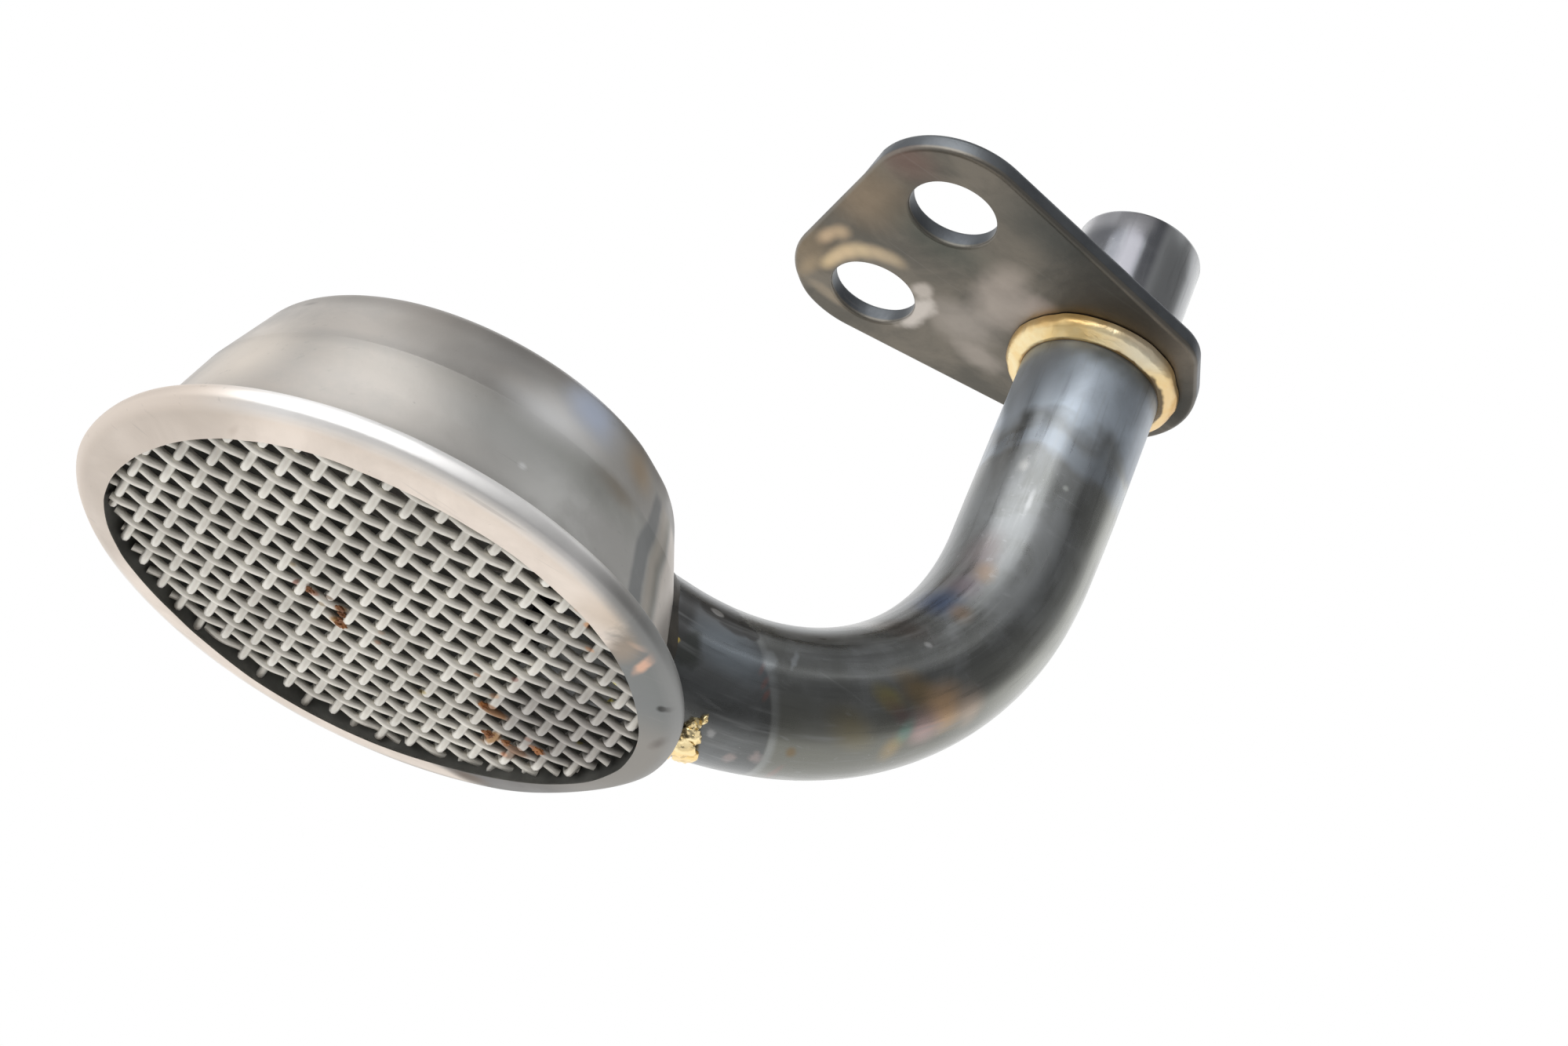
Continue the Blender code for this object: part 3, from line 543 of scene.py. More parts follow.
# Pale specks and gold splatter on the pipe; the thin pale line at (16.5, -6.5, -21.6) is a painted highlight
# on the upright leg
PIPE_SPECKS_AND_HIGHLIGHT = (
    ((-4.4, -6.7, -47.1), (0.62, 0.9, 0.34), 0.3, 0.12, 900.0, 0.9, (0.50, 0.50, 0.50)),
    ((15.2, -5.5, -17.9), (0.45, 0.5, 0.75), 0.9, 0.3, 900.0, 0.5, (0.42, 0.42, 0.41)),
    ((16.5, -6.5, -21.6), (0.22, 0.5, 1.5), 0.9, 0.3, 900.0, 0.45, (0.42, 0.43, 0.44)),
    ((18.8, -7.4, -18.9), (0.28, 0.4, 0.28), 0.7, 0.2, 900.0, 0.6, (0.45, 0.47, 0.45)),
    ((0.8, -7.5, -48.7), (0.7, 0.6, 0.9), 0.6, 0.35, 1400.0, 0.45, (0.42, 0.45, 0.47)),
    ((2.7, -7.4, -47.4), (0.28, 0.5, 0.9), 0.6, 0.35, 1400.0, 0.5, (0.40, 0.43, 0.46)),
    ((-0.3, -4.4, -55.1), (0.5, 0.5, 0.35), 0.6, 0.35, 1800.0, 0.5, (0.42, 0.42, 0.42)),
    ((2.5, -2.6, -55.2), (0.6, 0.7, 0.4), 0.7, 0.35, 1800.0, 0.4, (0.42, 0.33, 0.31)),
    ((4.2, -3.3, -54.3), (0.6, 0.7, 0.4), 0.7, 0.35, 1800.0, 0.4, (0.42, 0.33, 0.31)),
    ((12.6, -7.3, -39.4), (0.4, 0.4, 0.25), 0.7, 0.3, 1500.0, 0.6, (0.5, 0.5, 0.5)),
    ((7.6, -6.9, -38.6), (0.35, 0.4, 0.3), 0.7, 0.3, 1500.0, 0.45, (0.4, 0.4, 0.4)),
    ((-6.7, -7.5, -51.5), (0.28, 0.5, 0.22), 0.5, 0.4, 2500.0, 0.95, (0.75, 0.55, 0.12)),
    ((-7.2, -7.6, -52.1), (0.35, 0.5, 0.16), 0.5, 0.4, 2500.0, 0.9, (0.70, 0.52, 0.12)),
    ((-7.7, -7.7, -50.4), (0.26, 0.5, 0.26), 0.5, 0.3, 2500.0, 0.8, (0.55, 0.55, 0.55)))


def pipe_oxide():
    mat, tree, shader, point = new_material("pipe_oxide", 0.3, 1.0)
    grain = tree.group(GRAIN, Point=point, Scale=1.0)
    x, y, z = tree.split(point)
    pivot = CUP_AXIS + Vector((BEND_START, 0.0, PIPE_HEIGHT + BEND_RADIUS))
    right = tree.math("MAXIMUM", tree.minus(x, pivot.x), 0.0)
    below = tree.math("MAXIMUM", tree.minus(pivot.z, z), 0.0)
    reach = tree.minus(tree.vec("LENGTH", tree.join(right, 0.0, below)), BEND_RADIUS)
    drawn = tree.join(tree.times(reach, 1300.0), tree.times(y, 1300.0),
                      tree.times(tree.plus(x, z), 90.0))
    streak = tree.noise(drawn, 1.0, 3.0, 0.6)
    soft = tree.sway(point, 230.0, 0.006, 0.5)
    height = tree.plus(z, soft)
    cloud = tree.span(grain["Mottle"], 0.36, 0.66)
    color = tree.mix(cloud, (0.135, 0.14, 0.135), (0.21, 0.22, 0.225))
    slant = tree.plus(tree.plus(x, tree.times(z, 0.837)), 0.0406)
    near_cup = tree.span(slant, 0.0003, -0.0003)
    # Painted reflection: the outer side of the bend and leg is painted pale, paler up the leg
    painted_sheen = tree.mix(tree.span(z, -0.046, -0.032), (0.155, 0.155, 0.13), (0.34, 0.345, 0.31))
    color = tree.mix(tree.times(tree.span(reach, 0.0005, 0.0050), 0.85), color, painted_sheen)
    inner = tree.mix(cloud, (0.085, 0.09, 0.095), (0.125, 0.135, 0.145))
    color = tree.mix(tree.times(near_cup, 0.75), color, inner)
    seam = tree.times(tree.span(slant, -0.0002, 0.0002), tree.span(slant, 0.0012, 0.0004))
    color = tree.mix(tree.times(seam, 0.4), color, (0.32, 0.335, 0.34))
    band = tree.times(tree.span(height, -0.0172, -0.0156), tree.span(height, -0.0130, -0.0146))
    color = tree.mix(tree.times(band, 0.7), color, (0.30, 0.34, 0.39))
    upper = tree.span(height, -0.0140, -0.0120)
    color = tree.mix(upper, color, tree.mix(cloud, (0.33, 0.37, 0.42), (0.43, 0.49, 0.56)))
    edge = tree.times(tree.span(height, -0.0142, -0.0131), tree.span(height, -0.0118, -0.0129))
    patchy = tree.span(tree.noise(point, 420.0, 2.0), 0.35, 0.65, 0.1, 0.45)
    color = tree.mix(tree.times(edge, patchy), color, (0.14, 0.145, 0.145))
    collar = tree.span(height, -0.0054, -0.0030)
    color = tree.mix(tree.times(collar, 0.75), color, (0.13, 0.135, 0.13))
    burnt = tree.span(tree.plus(z, tree.times(soft, 0.12)), -0.0037, -0.0033)
    color = tree.mix(tree.times(burnt, 0.9), color, (0.035, 0.032, 0.025))
    turned = tree.math("ARCTAN2", tree.minus(y, CUP_AXIS.y), tree.minus(x, CUP_AXIS.x + LEG_X))
    # Painted highlights on the spigot: a light stripe where the key lamp's highlight falls, a lighter tip on
    # that side, and a lighter side turned past it
    highlight_stripe = tree.times(tree.span(turned, -2.40, -2.15), tree.span(turned, -1.90, -2.05))
    spigot_tone_and_highlights = tree.mix(cloud, (0.10, 0.105, 0.12), (0.145, 0.15, 0.165))
    spigot_tone_and_highlights = tree.mix(highlight_stripe, spigot_tone_and_highlights, (0.185, 0.185, 0.205))
    tip_highlight = tree.times(tree.span(z, 0.0100, 0.0118), tree.span(turned, -1.80, -2.00))
    spigot_tone_and_highlights = tree.mix(tree.times(tip_highlight, 0.8), spigot_tone_and_highlights, (0.34, 0.34, 0.36))
    spigot_tone_and_highlights = tree.mix(tree.span(turned, -1.78, -1.62), spigot_tone_and_highlights, (0.31, 0.32, 0.33))
    spigot = tree.span(z, 0.0, 0.0008)
    color = tree.mix(spigot, color, spigot_tone_and_highlights)
    color = paint(tree, point, color, PIPE_TINTS_AND_SHADE)
    color = paint(tree, point, color, PIPE_SOOT)
    fleck = tree.times(tree.span(grain["Fine"], 0.70, 0.76), 0.25)
    color = tree.mix(fleck, color, (0.42, 0.43, 0.43))
    color = tree.mix(tree.span(streak, 0.55, 0.75, 0.0, 0.35), color, (0.30, 0.31, 0.31))
    color = tree.mix(tree.span(streak, 0.45, 0.25, 0.0, 0.3), color, (0.07, 0.07, 0.068))
    color = tree.mix(tree.times(grain["Scratch"], 0.2), color, (0.36, 0.37, 0.38))
    color = paint(tree, point, color, PIPE_SPECKS_AND_HIGHLIGHT)
    tree.put(shader.inputs["Base Color"], color)
    satin = tree.span(tree.plus(grain["Mottle"], tree.minus(streak, 0.5)), 0.32, 0.68, 0.23, 0.36)
    rough = tree.mixf(tree.minus(upper, spigot), satin, 0.46)
    tree.put(shader.inputs["Roughness"], tree.mixf(spigot, rough, 0.19))
    shader.inputs["Coat Weight"].default_value = 0.6
    shader.inputs["Coat Roughness"].default_value = 0.32
    shader.inputs["Coat IOR"].default_value = 1.6
    lumps = tree.plus(grain["Mottle"], tree.times(grain["Fine"], 0.05))
    bump(tree, shader, lumps, 0.13, 0.0001)
    return mat


FLANGE_MARKS = flat_marks(-1.9, 1.5, (
    ((-6.6, -3.2), (3.6, 4.6), 0.9, 0.15, 200.0, 0.6, (0.27, 0.20, 0.13)),
    ((-7.2, 7.4), (2.6, 3.6), 0.9, 0.15, 200.0, 0.6, (0.25, 0.19, 0.12)),
    ((-7.0, -10.4), (3.4, 2.2), 0.9, 0.20, 300.0, 0.55, (0.20, 0.12, 0.10)),
    ((0.5, -4.0), (5.0, 2.6), 0.9, 0.15, 200.0, 0.6, (0.085, 0.095, 0.08)),
    ((7.0, -13.4), (5.5, 3.2), 0.9, 0.15, 200.0, 0.7, (0.07, 0.075, 0.07)),
    ((20.5, -9.6), (7.0, 3.0), 0.9, 0.15, 200.0, 0.6, (0.15, 0.12, 0.09)),
    ((26.8, -4.0), (3.6, 6.0), 0.9, 0.15, 200.0, 0.85, (0.035, 0.035, 0.032)),
    ((9.4, -1.8), (3.2, 3.4), 0.75, 0.22, 260.0, 0.85, (0.41, 0.36, 0.315)),
    ((7.6, -4.6), (1.9, 2.6), 0.75, 0.22, 260.0, 0.7, (0.38, 0.33, 0.285)),
    ((11.6, -4.2), (1.6, 1.6), 0.75, 0.22, 260.0, 0.7, (0.40, 0.34, 0.30)),
    ((8.4, 3.6), (3.2, 3.0), 0.75, 0.22, 260.0, 0.75, (0.38, 0.34, 0.30)),
    ((12.2, 6.6), (2.6, 1.6), 0.6, 0.30, 260.0, 0.75, (0.36, 0.32, 0.28)),
    ((4.4, 6.6), (1.5, 2.8), 0.45, 0.25, 400.0, 0.9, (0.60, 0.55, 0.50)),
    ((3.3, 3.2), (1.0, 1.2), 0.6, 0.25, 400.0, 0.8, (0.52, 0.47, 0.42)),
    ((-4.6, 7.4), (0.7, 1.3), 0.9, 0.06, 400.0, 0.85, (0.62, 0.48, 0.29)),
    ((-4.5, 5.9), (0.8, 1.3), 0.9, 0.06, 400.0, 0.85, (0.66, 0.51, 0.32)),
    ((-4.1, 4.5), (1.0, 1.2), 0.9, 0.06, 400.0, 0.85, (0.66, 0.51, 0.32)),
    ((-3.3, 3.3), (1.1, 1.0), 0.9, 0.06, 400.0, 0.85, (0.62, 0.49, 0.31)),
    ((-2.2, 2.4), (1.2, 0.9), 0.9, 0.06, 400.0, 0.8, (0.56, 0.44, 0.29)),
    ((-0.9, 1.8), (1.4, 0.9), 0.9, 0.06, 400.0, 0.75, (0.50, 0.40, 0.27)),
    ((-6.6, 4.4), (0.7, 1.5), 0.9, 0.10, 400.0, 0.75, (0.62, 0.46, 0.30)),
    ((-6.0, 2.9), (0.9, 1.1), 0.9, 0.10, 400.0, 0.7, (0.60, 0.45, 0.29)),
    ((-5.6, 9.6), (0.8, 2.0), 0.9, 0.10, 400.0, 0.6, (0.40, 0.31, 0.20)),
    ((-2.2, 11.4), (2.4, 0.7), 0.8, 0.25, 400.0, 0.5, (0.40, 0.33, 0.24))))


def flange_steel():
    mat, tree, shader, point = new_material("flange_steel", 0.42, 1.0)
    grain = tree.group(GRAIN, Point=point, Scale=1.0)
    z = tree.split(point)[2]
    cloud = tree.span(grain["Mottle"], 0.35, 0.68)
    color = tree.mix(cloud, (0.185, 0.165, 0.135), (0.125, 0.117, 0.10))
    color = paint(tree, point, color, FLANGE_MARKS)
    rim = tree.mix(cloud, (0.135, 0.145, 0.155), (0.09, 0.097, 0.107))
    color = tree.mix(tree.span(z, -0.0017, -0.0013), color, rim)
    # Painted highlight along the rounded lower edge
    painted_sheen = tree.times(tree.span(z, -0.00186, -0.00174), tree.span(z, -0.0014, -0.0016))
    color = tree.mix(tree.times(painted_sheen, 0.5), color, (0.24, 0.225, 0.20))
    color = tree.mix(tree.times(grain["Scratch"], 0.1), color, (0.30, 0.28, 0.26))
    tree.put(shader.inputs["Base Color"], color)
    tree.put(shader.inputs["Roughness"], tree.span(grain["Mottle"], 0.3, 0.7, 0.38, 0.5))
    bump(tree, shader, tree.plus(grain["Fine"], grain["Mottle"]), 0.2, 0.00006)
    return mat


COLLAR_GLINT = (((20.4, -8.4, -2.6), (3.0, 1.4, 1.4), 0.9, 0.1, 300.0, 0.7, (1.0, 0.95, 0.80)),)


def braze_gold(name, roughness, metallic):
    mat, tree, shader, point = new_material(name, roughness, metallic)
    grain = tree.group(GRAIN, Point=point, Scale=2.0)
    color = tree.mix(tree.span(grain["Mottle"], 0.35, 0.65), (1.0, 0.84, 0.50), (0.95, 0.70, 0.32))
    z = tree.split(point)[2]
    on_collar = tree.span(z, -0.0045, -0.0040)
    leg = CUP_AXIS + Vector((LEG_X, 0.0, 0.0))
    away = tree.vec("MULTIPLY", tree.vec("SUBTRACT", point, tuple(leg)), (1.0, 1.0, 0.0))
    soft = tree.sway(point, 500.0, 0.0008)
    gap = tree.plus(tree.minus(tree.vec("LENGTH", away), PIPE_RADIUS), soft)
    side = tree.split(away)[0]
    rusty = tree.span(tree.plus(side, tree.times(soft, 2.0)), 0.0015, 0.0060, 0.0, 0.5)
    color = tree.mix(tree.times(rusty, on_collar), color, (0.85, 0.56, 0.26))
    # Painted shade: the collar's outer edge darker orange, where its rounded bead turns away
    edge = tree.times(tree.span(gap, 0.00120, 0.00170), on_collar)
    color = tree.mix(tree.times(edge, 0.75), color, (0.66, 0.40, 0.13))
    color = paint(tree, point, color, COLLAR_GLINT)
    inner = tree.minus(gap, tree.span(side, 0.0, 0.0060, 0.0, 0.0006))
    root = tree.times(tree.span(inner, 0.00030, 0.00005), on_collar)
    burnt = tree.mix(tree.span(side, 0.0, 0.0040), (0.42, 0.24, 0.08), (0.05, 0.035, 0.02))
    color = tree.mix(tree.times(root, 0.9), color, burnt)
    tree.put(shader.inputs["Base Color"], color)
    bump(tree, shader, grain["Mottle"], 0.6, 0.0003)
    return mat


def scorched_flux():
    mat, tree, shader, point = new_material("scorched_flux", 0.45, 0.7)
    grain = tree.group(GRAIN, Point=point, Scale=2.0)
    color = tree.mix(tree.span(grain["Mottle"], 0.35, 0.65), (0.05, 0.05, 0.048), (0.11, 0.10, 0.085))
    tree.put(shader.inputs["Base Color"], color)
    bump(tree, shader, grain["Mottle"], 0.5, 0.0002)
    return mat


def debris_brown():
    mat, tree, shader, point = new_material("debris_brown", 0.6, 0.2)
    grain = tree.group(GRAIN, Point=point, Scale=3.0)
    color = tree.mix(tree.span(grain["Mottle"], 0.35, 0.65), (0.42, 0.17, 0.05), (0.20, 0.08, 0.03))
    tree.put(shader.inputs["Base Color"], color)
    return mat


# Strainer cup: a folded profile turned about its axis, the lip's edge uneven all round

CUP_STEPS = 288
LIP_MEAN = 0.02156
LIP_WAVES = ((0.19, 0.17), (0.175, -0.17), (0.16, 0.10), (0.05, -0.10), (0.12, 0.13))
RIM_PUSH = 0.00025
RIM_FLAT = 0.0004
RIM_FLAT_ANGLE = math.radians(20.0)
RIM_FLAT_HALF = math.radians(22.0)
RIM_TILT = 0.018
RIM_INNER = 0.0225
RIM_FOLD = 0.0238
SHOULDER = 0.00921
SHOULDER_RADIUS = 0.02015
BACK_EDGE = 0.01555
BACK_RADIUS = 0.0177
DENT_ANGLE = math.radians(-51.0)
DENT_HALF = math.radians(9.0)
DENT_DEPTH = 0.0001


def lip_reach(angle):
    # How far the hand-folded lip's edge lies beyond its mean radius
    total = 0.0
    for k, (even, odd) in enumerate(LIP_WAVES, 1):
        total += even * math.cos(k * angle) + odd * math.sin(k * angle)
    return total / 1000.0


def smooth_step(value, low, high):
    t = max(0.0, min(1.0, (value - low) / (high - low)))
    return t * t * (3.0 - 2.0 * t)


def hollow(angle, middle, half):
    # One at the middle angle, falling smoothly to nothing at half the width
    turn = min(1.0, abs(angle - middle) / half)
    return (1.0 - turn * turn) ** 2


def shape_cup(bm):
    for vert in bm.verts:
        r = math.hypot(vert.co.x, vert.co.y)
        if r < 0.005:
            continue
        z = vert.co.z
        a = math.atan2(vert.co.y, vert.co.x)
        ring = Vector((math.cos(a), math.sin(a), 0.0))
        move = 0.00003 * wobble((vert.co.x, vert.co.y, z * 0.6), 160.0, 2.0)
        if z < -0.0004:
            share = max(0.0, min(1.0, (RIM_FOLD - r) / (RIM_FOLD - LIP_MEAN)))
            move += (lip_reach(a) + 0.00006 * wobble(ring, 9.0, 4.0)) * share
        if z < 0.0006 and r > 0.022:
            move += 0.00007 * wobble(ring, 3.0, 7.0) * smooth_step(r, RIM_INNER, RIM_FOLD)
            press = RIM_PUSH * max(0.0, math.sin(a)) - RIM_FLAT * hollow(a, RIM_FLAT_ANGLE, RIM_FLAT_HALF)
            move += press * smooth_step(r, RIM_INNER, RIM_FOLD)
        if z > 0.0011:
            # The wall is pressed in a little beside the pipe
            move -= DENT_DEPTH * hollow(a, DENT_ANGLE, DENT_HALF) * smooth_step(z, 0.0012, 0.004)
        vert.co.x *= 1.0 + move / r
        vert.co.y *= 1.0 + move / r
        vert.co.z += RIM_TILT * vert.co.y * (1.0 - smooth_step(z, -0.0006, 0.0004))
        if z < -0.0009 and r < 0.0235:
            vert.co.z += 0.00008 * wobble(ring, 4.0, 3.0)


def make_cup(mat, inside):
    bm = bmesh.new()
    wire_profile(bm, [
        (0.0, 0.01605, 0.0, 1),
        (0.009, 0.01605, 0.012, 6),
        (BACK_RADIUS, BACK_EDGE, 0.0016, 8),
        (SHOULDER_RADIUS, SHOULDER, 0.0008, 5),
        (0.02132, 0.0048, 0.02, 5),
        (RIM_INNER, 0.00064, 0.0011, 8),
        (0.02440, 0.00064, 0.0006, 8),
        (0.02490, -0.0002, 0.0006, 8),
        (0.02415, -0.00095, 0.0010, 8),
        (LIP_MEAN, -0.00147, 0.00004, 2),
        (LIP_MEAN + 0.00002, -0.0013, 0.00004, 2),
        (0.02212, -0.00118, 0.0, 1),
        (0.02212, -0.0007, 0.0, 1),
        (0.01953, 0.00915, 0.0, 1),
        (0.01698, 0.01495, 0.0012, 4),
        (0.009, 0.01545, 0.011, 4),
        (0.0, 0.01545, 0.0, 1)])
    spin_full(bm, CUP_STEPS)
    shape_cup(bm)
    bmesh.ops.recalc_face_normals(bm, faces=bm.faces[:])
    for face in bm.faces:
        middle = face.calc_center_median()
        outward = face.normal.x * middle.x + face.normal.y * middle.y
        under = middle.z > 0.0153 and face.normal.z < 0.0
        if (outward < 0.0 and middle.z > -0.0016 and -0.9 < face.normal.z < 0.6) or under:
            face.material_index = 1
    cup = finish_piece("cup_shell", bm, [mat, inside], CUP_AXIS, 40.0)
    hole = bmesh.new()
    bmesh.ops.create_cone(hole, cap_ends=True, segments=96, radius1=PIPE_RADIUS + 0.0002,
                          radius2=PIPE_RADIUS + 0.0002, depth=0.012,
                          matrix=Matrix.Rotation(math.radians(90.0), 4, "Y"))
    carve(cup, hole, CUP_AXIS + Vector((0.0185, 0.0, PIPE_HEIGHT)))
    cup.data.set_sharp_from_angle(angle=math.radians(40.0))
    return cup


# Woven screen: every wire is crimped over and under the wires that cross it

WIRE = 0.00036
PITCH_X = 0.002151
PITCH_Y = 0.002167
SCREEN_REACH = 0.0221
SCREEN_LEVEL = -0.0001
SCREEN_TURN = math.radians(-2.28)
SCREEN_SKEW = 0.0083
SCREEN_SAG = 0.00046
SCREEN_SHIFT = (-0.001126, 0.0006)
WIRES_PER_SIDE = 11
CRIMP_ACROSS = 0.00013
CRIMP_ALONG = 0.00049


def crimped_wire(bm, offset, pitch, start, first, along_x):
    # One wire: a rod cut into short lengths, then bent by the weave's wave
    half = math.sqrt(max(0.0, SCREEN_REACH ** 2 - offset ** 2))
    if half < 0.002:
        return
    rod = bmesh.new()
    bmesh.ops.create_cone(rod, cap_ends=True, segments=8, radius1=WIRE, radius2=WIRE, depth=half * 2.0)
    long_edges = [e for e in rod.edges if abs(e.verts[0].co.z - e.verts[1].co.z) > half]
    bmesh.ops.subdivide_edges(rod, edges=long_edges, cuts=int(half * 2.0 / pitch * 8.0))
    crimp = CRIMP_ACROSS if along_x else CRIMP_ALONG
    seed = offset * 3000.0 + (50.0 if along_x else 0.0)
    for vert in rod.verts:
        s = vert.co.z
        wave = math.cos(math.pi * (s - start) / pitch)
        lift = crimp * first * wave * (1.12 - 0.12 * wave * wave)
        side = 0.00005 * wobble((s, offset, 0.0), 120.0, seed)
        if along_x:
            vert.co = Vector((s, offset + vert.co.x + side, vert.co.y + lift))
        else:
            vert.co = Vector((offset + vert.co.x + side, s, vert.co.y + lift))
    mesh = bpy.data.meshes.new("rod")
    rod.to_mesh(mesh)
    rod.free()
    bm.from_mesh(mesh)
    bpy.data.meshes.remove(mesh)


def make_screen(mat):
    pieces = []
    for name, along_x in (("screen_wires_across", True), ("screen_wires_along", False)):
        bm = bmesh.new()
        own, other = (PITCH_Y, PITCH_X) if along_x else (PITCH_X, PITCH_Y)
        own_shift, other_shift = (SCREEN_SHIFT[1], SCREEN_SHIFT[0]) if along_x else SCREEN_SHIFT
        for i in range(-WIRES_PER_SIDE, WIRES_PER_SIDE + 1):
            offset = i * own + own_shift
            if abs(offset) > SCREEN_REACH - 0.0004:
                continue
            sign = 1.0 if i % 2 == 0 else -1.0
            crimped_wire(bm, offset, other, other_shift, -sign if along_x else sign, along_x)
        bmesh.ops.rotate(bm, verts=bm.verts[:], cent=(0.0, 0.0, 0.0),
                         matrix=Matrix.Rotation(SCREEN_TURN, 3, "Z"))
        for vert in bm.verts:
            x, y, z = vert.co
            sag = SCREEN_SAG * (1.0 - (x * x + y * y) / SCREEN_REACH ** 2)
            vert.co = Vector((x + SCREEN_SKEW * y / 2.0, y + SCREEN_SKEW * x / 2.0, z + RIM_TILT * y - sag))
        pieces.append(finish_piece(name, bm, [mat], CUP_AXIS + Vector((0.0, 0.0, SCREEN_LEVEL)), 60.0))
    return pieces


# Suction pipe: a straight run, a quarter bend, an upright leg and the reduced spigot

PIPE_START = 0.0118
STUB_RADIUS = 0.0059
STUB_CHAMFER = 0.0004
BEND_FLAT = 0.00045
LEG_FULL = 0.00028


def pipe_skin(bm, radius, stub_radius, chamfer):
    made = bmesh.ops.create_circle(bm, cap_ends=False, segments=96, radius=radius,
                                   matrix=Matrix.Rotation(math.radians(90.0), 4, "Y"))
    bmesh.ops.translate(bm, verts=made["verts"], vec=(PIPE_START, 0.0, PIPE_HEIGHT))
    ring = list({e for v in made["verts"] for e in v.link_edges})
    first = list(ring)

    def advance(edges, vec=None, scale=None, centre=None):
        out = bmesh.ops.extrude_edge_only(bm, edges=edges)["geom"]
        verts = [g for g in out if isinstance(g, bmesh.types.BMVert)]
        if vec is not None:
            bmesh.ops.translate(bm, verts=verts, vec=vec)
        if scale is not None:
            bmesh.ops.scale(bm, verts=verts, vec=(scale, scale, 1.0), space=Matrix.Translation(-centre))
        return [g for g in out if isinstance(g, bmesh.types.BMEdge) and all(v in verts for v in g.verts)]

    for _ in range(6):
        ring = advance(ring, Vector(((BEND_START - PIPE_START) / 6.0, 0.0, 0.0)))
    spun = bmesh.ops.spin(bm, geom=ring, cent=(BEND_START, 0.0, PIPE_HEIGHT + BEND_RADIUS),
                          axis=(0.0, -1.0, 0.0), angle=math.radians(90.0), steps=64)
    ring = [g for g in spun["geom_last"] if isinstance(g, bmesh.types.BMEdge)]
    centre = Vector((LEG_X, 0.0, 0.0))
    low = PIPE_HEIGHT + BEND_RADIUS
    collar = FLANGE_LOW + 0.0009
    for _ in range(10):
        ring = advance(ring, Vector((0.0, 0.0, (collar - low) / 10.0)))
    if stub_radius != radius:
        ring = advance(ring, None, stub_radius / radius, centre)
    for _ in range(4):
        ring = advance(ring, Vector((0.0, 0.0, (STUB_TOP - chamfer - collar) / 4.0)))
    if chamfer > 0.0:
        for k in range(1, 4):
            a = math.radians(30.0 * k)
            b = math.radians(30.0 * (k - 1))
            now = stub_radius - chamfer * (1.0 - math.cos(a))
            was = stub_radius - chamfer * (1.0 - math.cos(b))
            ring = advance(ring, Vector((0.0, 0.0, chamfer * (math.sin(a) - math.sin(b)))), now / was, centre)
        advance(ring, None, PIPE_BORE / now, centre)
    return first


def ease_pipe(bm):
    # The bend's inner side is flattened, the leg is fuller outside and the run fuller underneath
    top = PIPE_HEIGHT + BEND_RADIUS
    for vert in bm.verts:
        x, z = vert.co.x, vert.co.z
        if x > BEND_START and z < top:
            reach = math.hypot(x - BEND_START, top - z)
            angle = math.atan2(x - BEND_START, top - z)
            inner = max(0.0, (BEND_RADIUS - reach) / PIPE_RADIUS)
            grow = 1.0 + BEND_FLAT * inner * hollow(angle, math.radians(42.0), math.radians(45.0)) / reach
            vert.co.x = BEND_START + (x - BEND_START) * grow
            vert.co.z = top - (top - z) * grow
        outer = max(0.0, (x - LEG_X) / PIPE_RADIUS) * smooth_step(z, top - 0.005, top + 0.008)
        vert.co.x += LEG_FULL * outer * smooth_step(z, FLANGE_HIGH, FLANGE_LOW)
        under = max(0.0, (PIPE_HEIGHT - z) / PIPE_RADIUS)
        vert.co.z -= LEG_FULL * (under * smooth_step(x, BEND_START + 0.014, BEND_START + 0.004))


def make_pipe(mat):
    bm = bmesh.new()
    first = pipe_skin(bm, PIPE_RADIUS, STUB_RADIUS, STUB_CHAMFER)
    pipe_skin(bm, PIPE_BORE, PIPE_BORE, 0.0)
    # The cut end inside the cup, drawn in from the outer skin to the bore
    cut = bmesh.ops.extrude_edge_only(bm, edges=first)["geom"]
    share = PIPE_BORE / PIPE_RADIUS
    bmesh.ops.scale(bm, verts=[g for g in cut if isinstance(g, bmesh.types.BMVert)], vec=(1.0, share, share),
                    space=Matrix.Translation((0.0, 0.0, -PIPE_HEIGHT)))
    bmesh.ops.remove_doubles(bm, verts=bm.verts[:], dist=1e-6)
    ease_pipe(bm)
    return finish_piece("pipe_skin", bm, [mat], CUP_AXIS, 40.0)


# Flange plate: the hull of a nose and two round corners, pierced and with its edges rolled

SHEAR_LEAN = 0.085
FLANGE_TURN = math.radians(1.2)
BOLT_TURN = math.radians(3.35)
BOLT_RADIUS = 0.004
BOLT_REACH = 0.01987
BOLT_SPREAD = 0.007725
FLANGE_BORE = 0.0062


def on_flange(reach, across, turn):
    # A place on the flange: how far from the pipe towards the bolt holes, and how far across
    back = Vector((-math.cos(turn), math.sin(turn), 0.0))
    side = Vector((math.sin(turn), math.cos(turn), 0.0))
    return Vector((LEG_X, 0.0, 0.0)) + back * reach + side * across


def pierce(plate, place, radius, flare):
    # A hole whose two mouths are rolled over
    bm = bmesh.new()
    half = (FLANGE_HIGH - FLANGE_LOW) / 2.0
    wire_profile(bm, [
        (0.0, -half - 0.001, 0.0, 1),
        (radius + flare, -half - 0.001, 0.0, 1),
        (radius + flare, -half, 0.0, 1),
        (radius, -half + flare, flare * 0.9, 3),
        (radius, half - flare, flare * 0.9, 3),
        (radius + flare, half, 0.0, 1),
        (radius + flare, half + 0.001, 0.0, 1),
        (0.0, half + 0.001, 0.0, 1)])
    spin_full(bm, 96)
    carve(plate, bm, place)


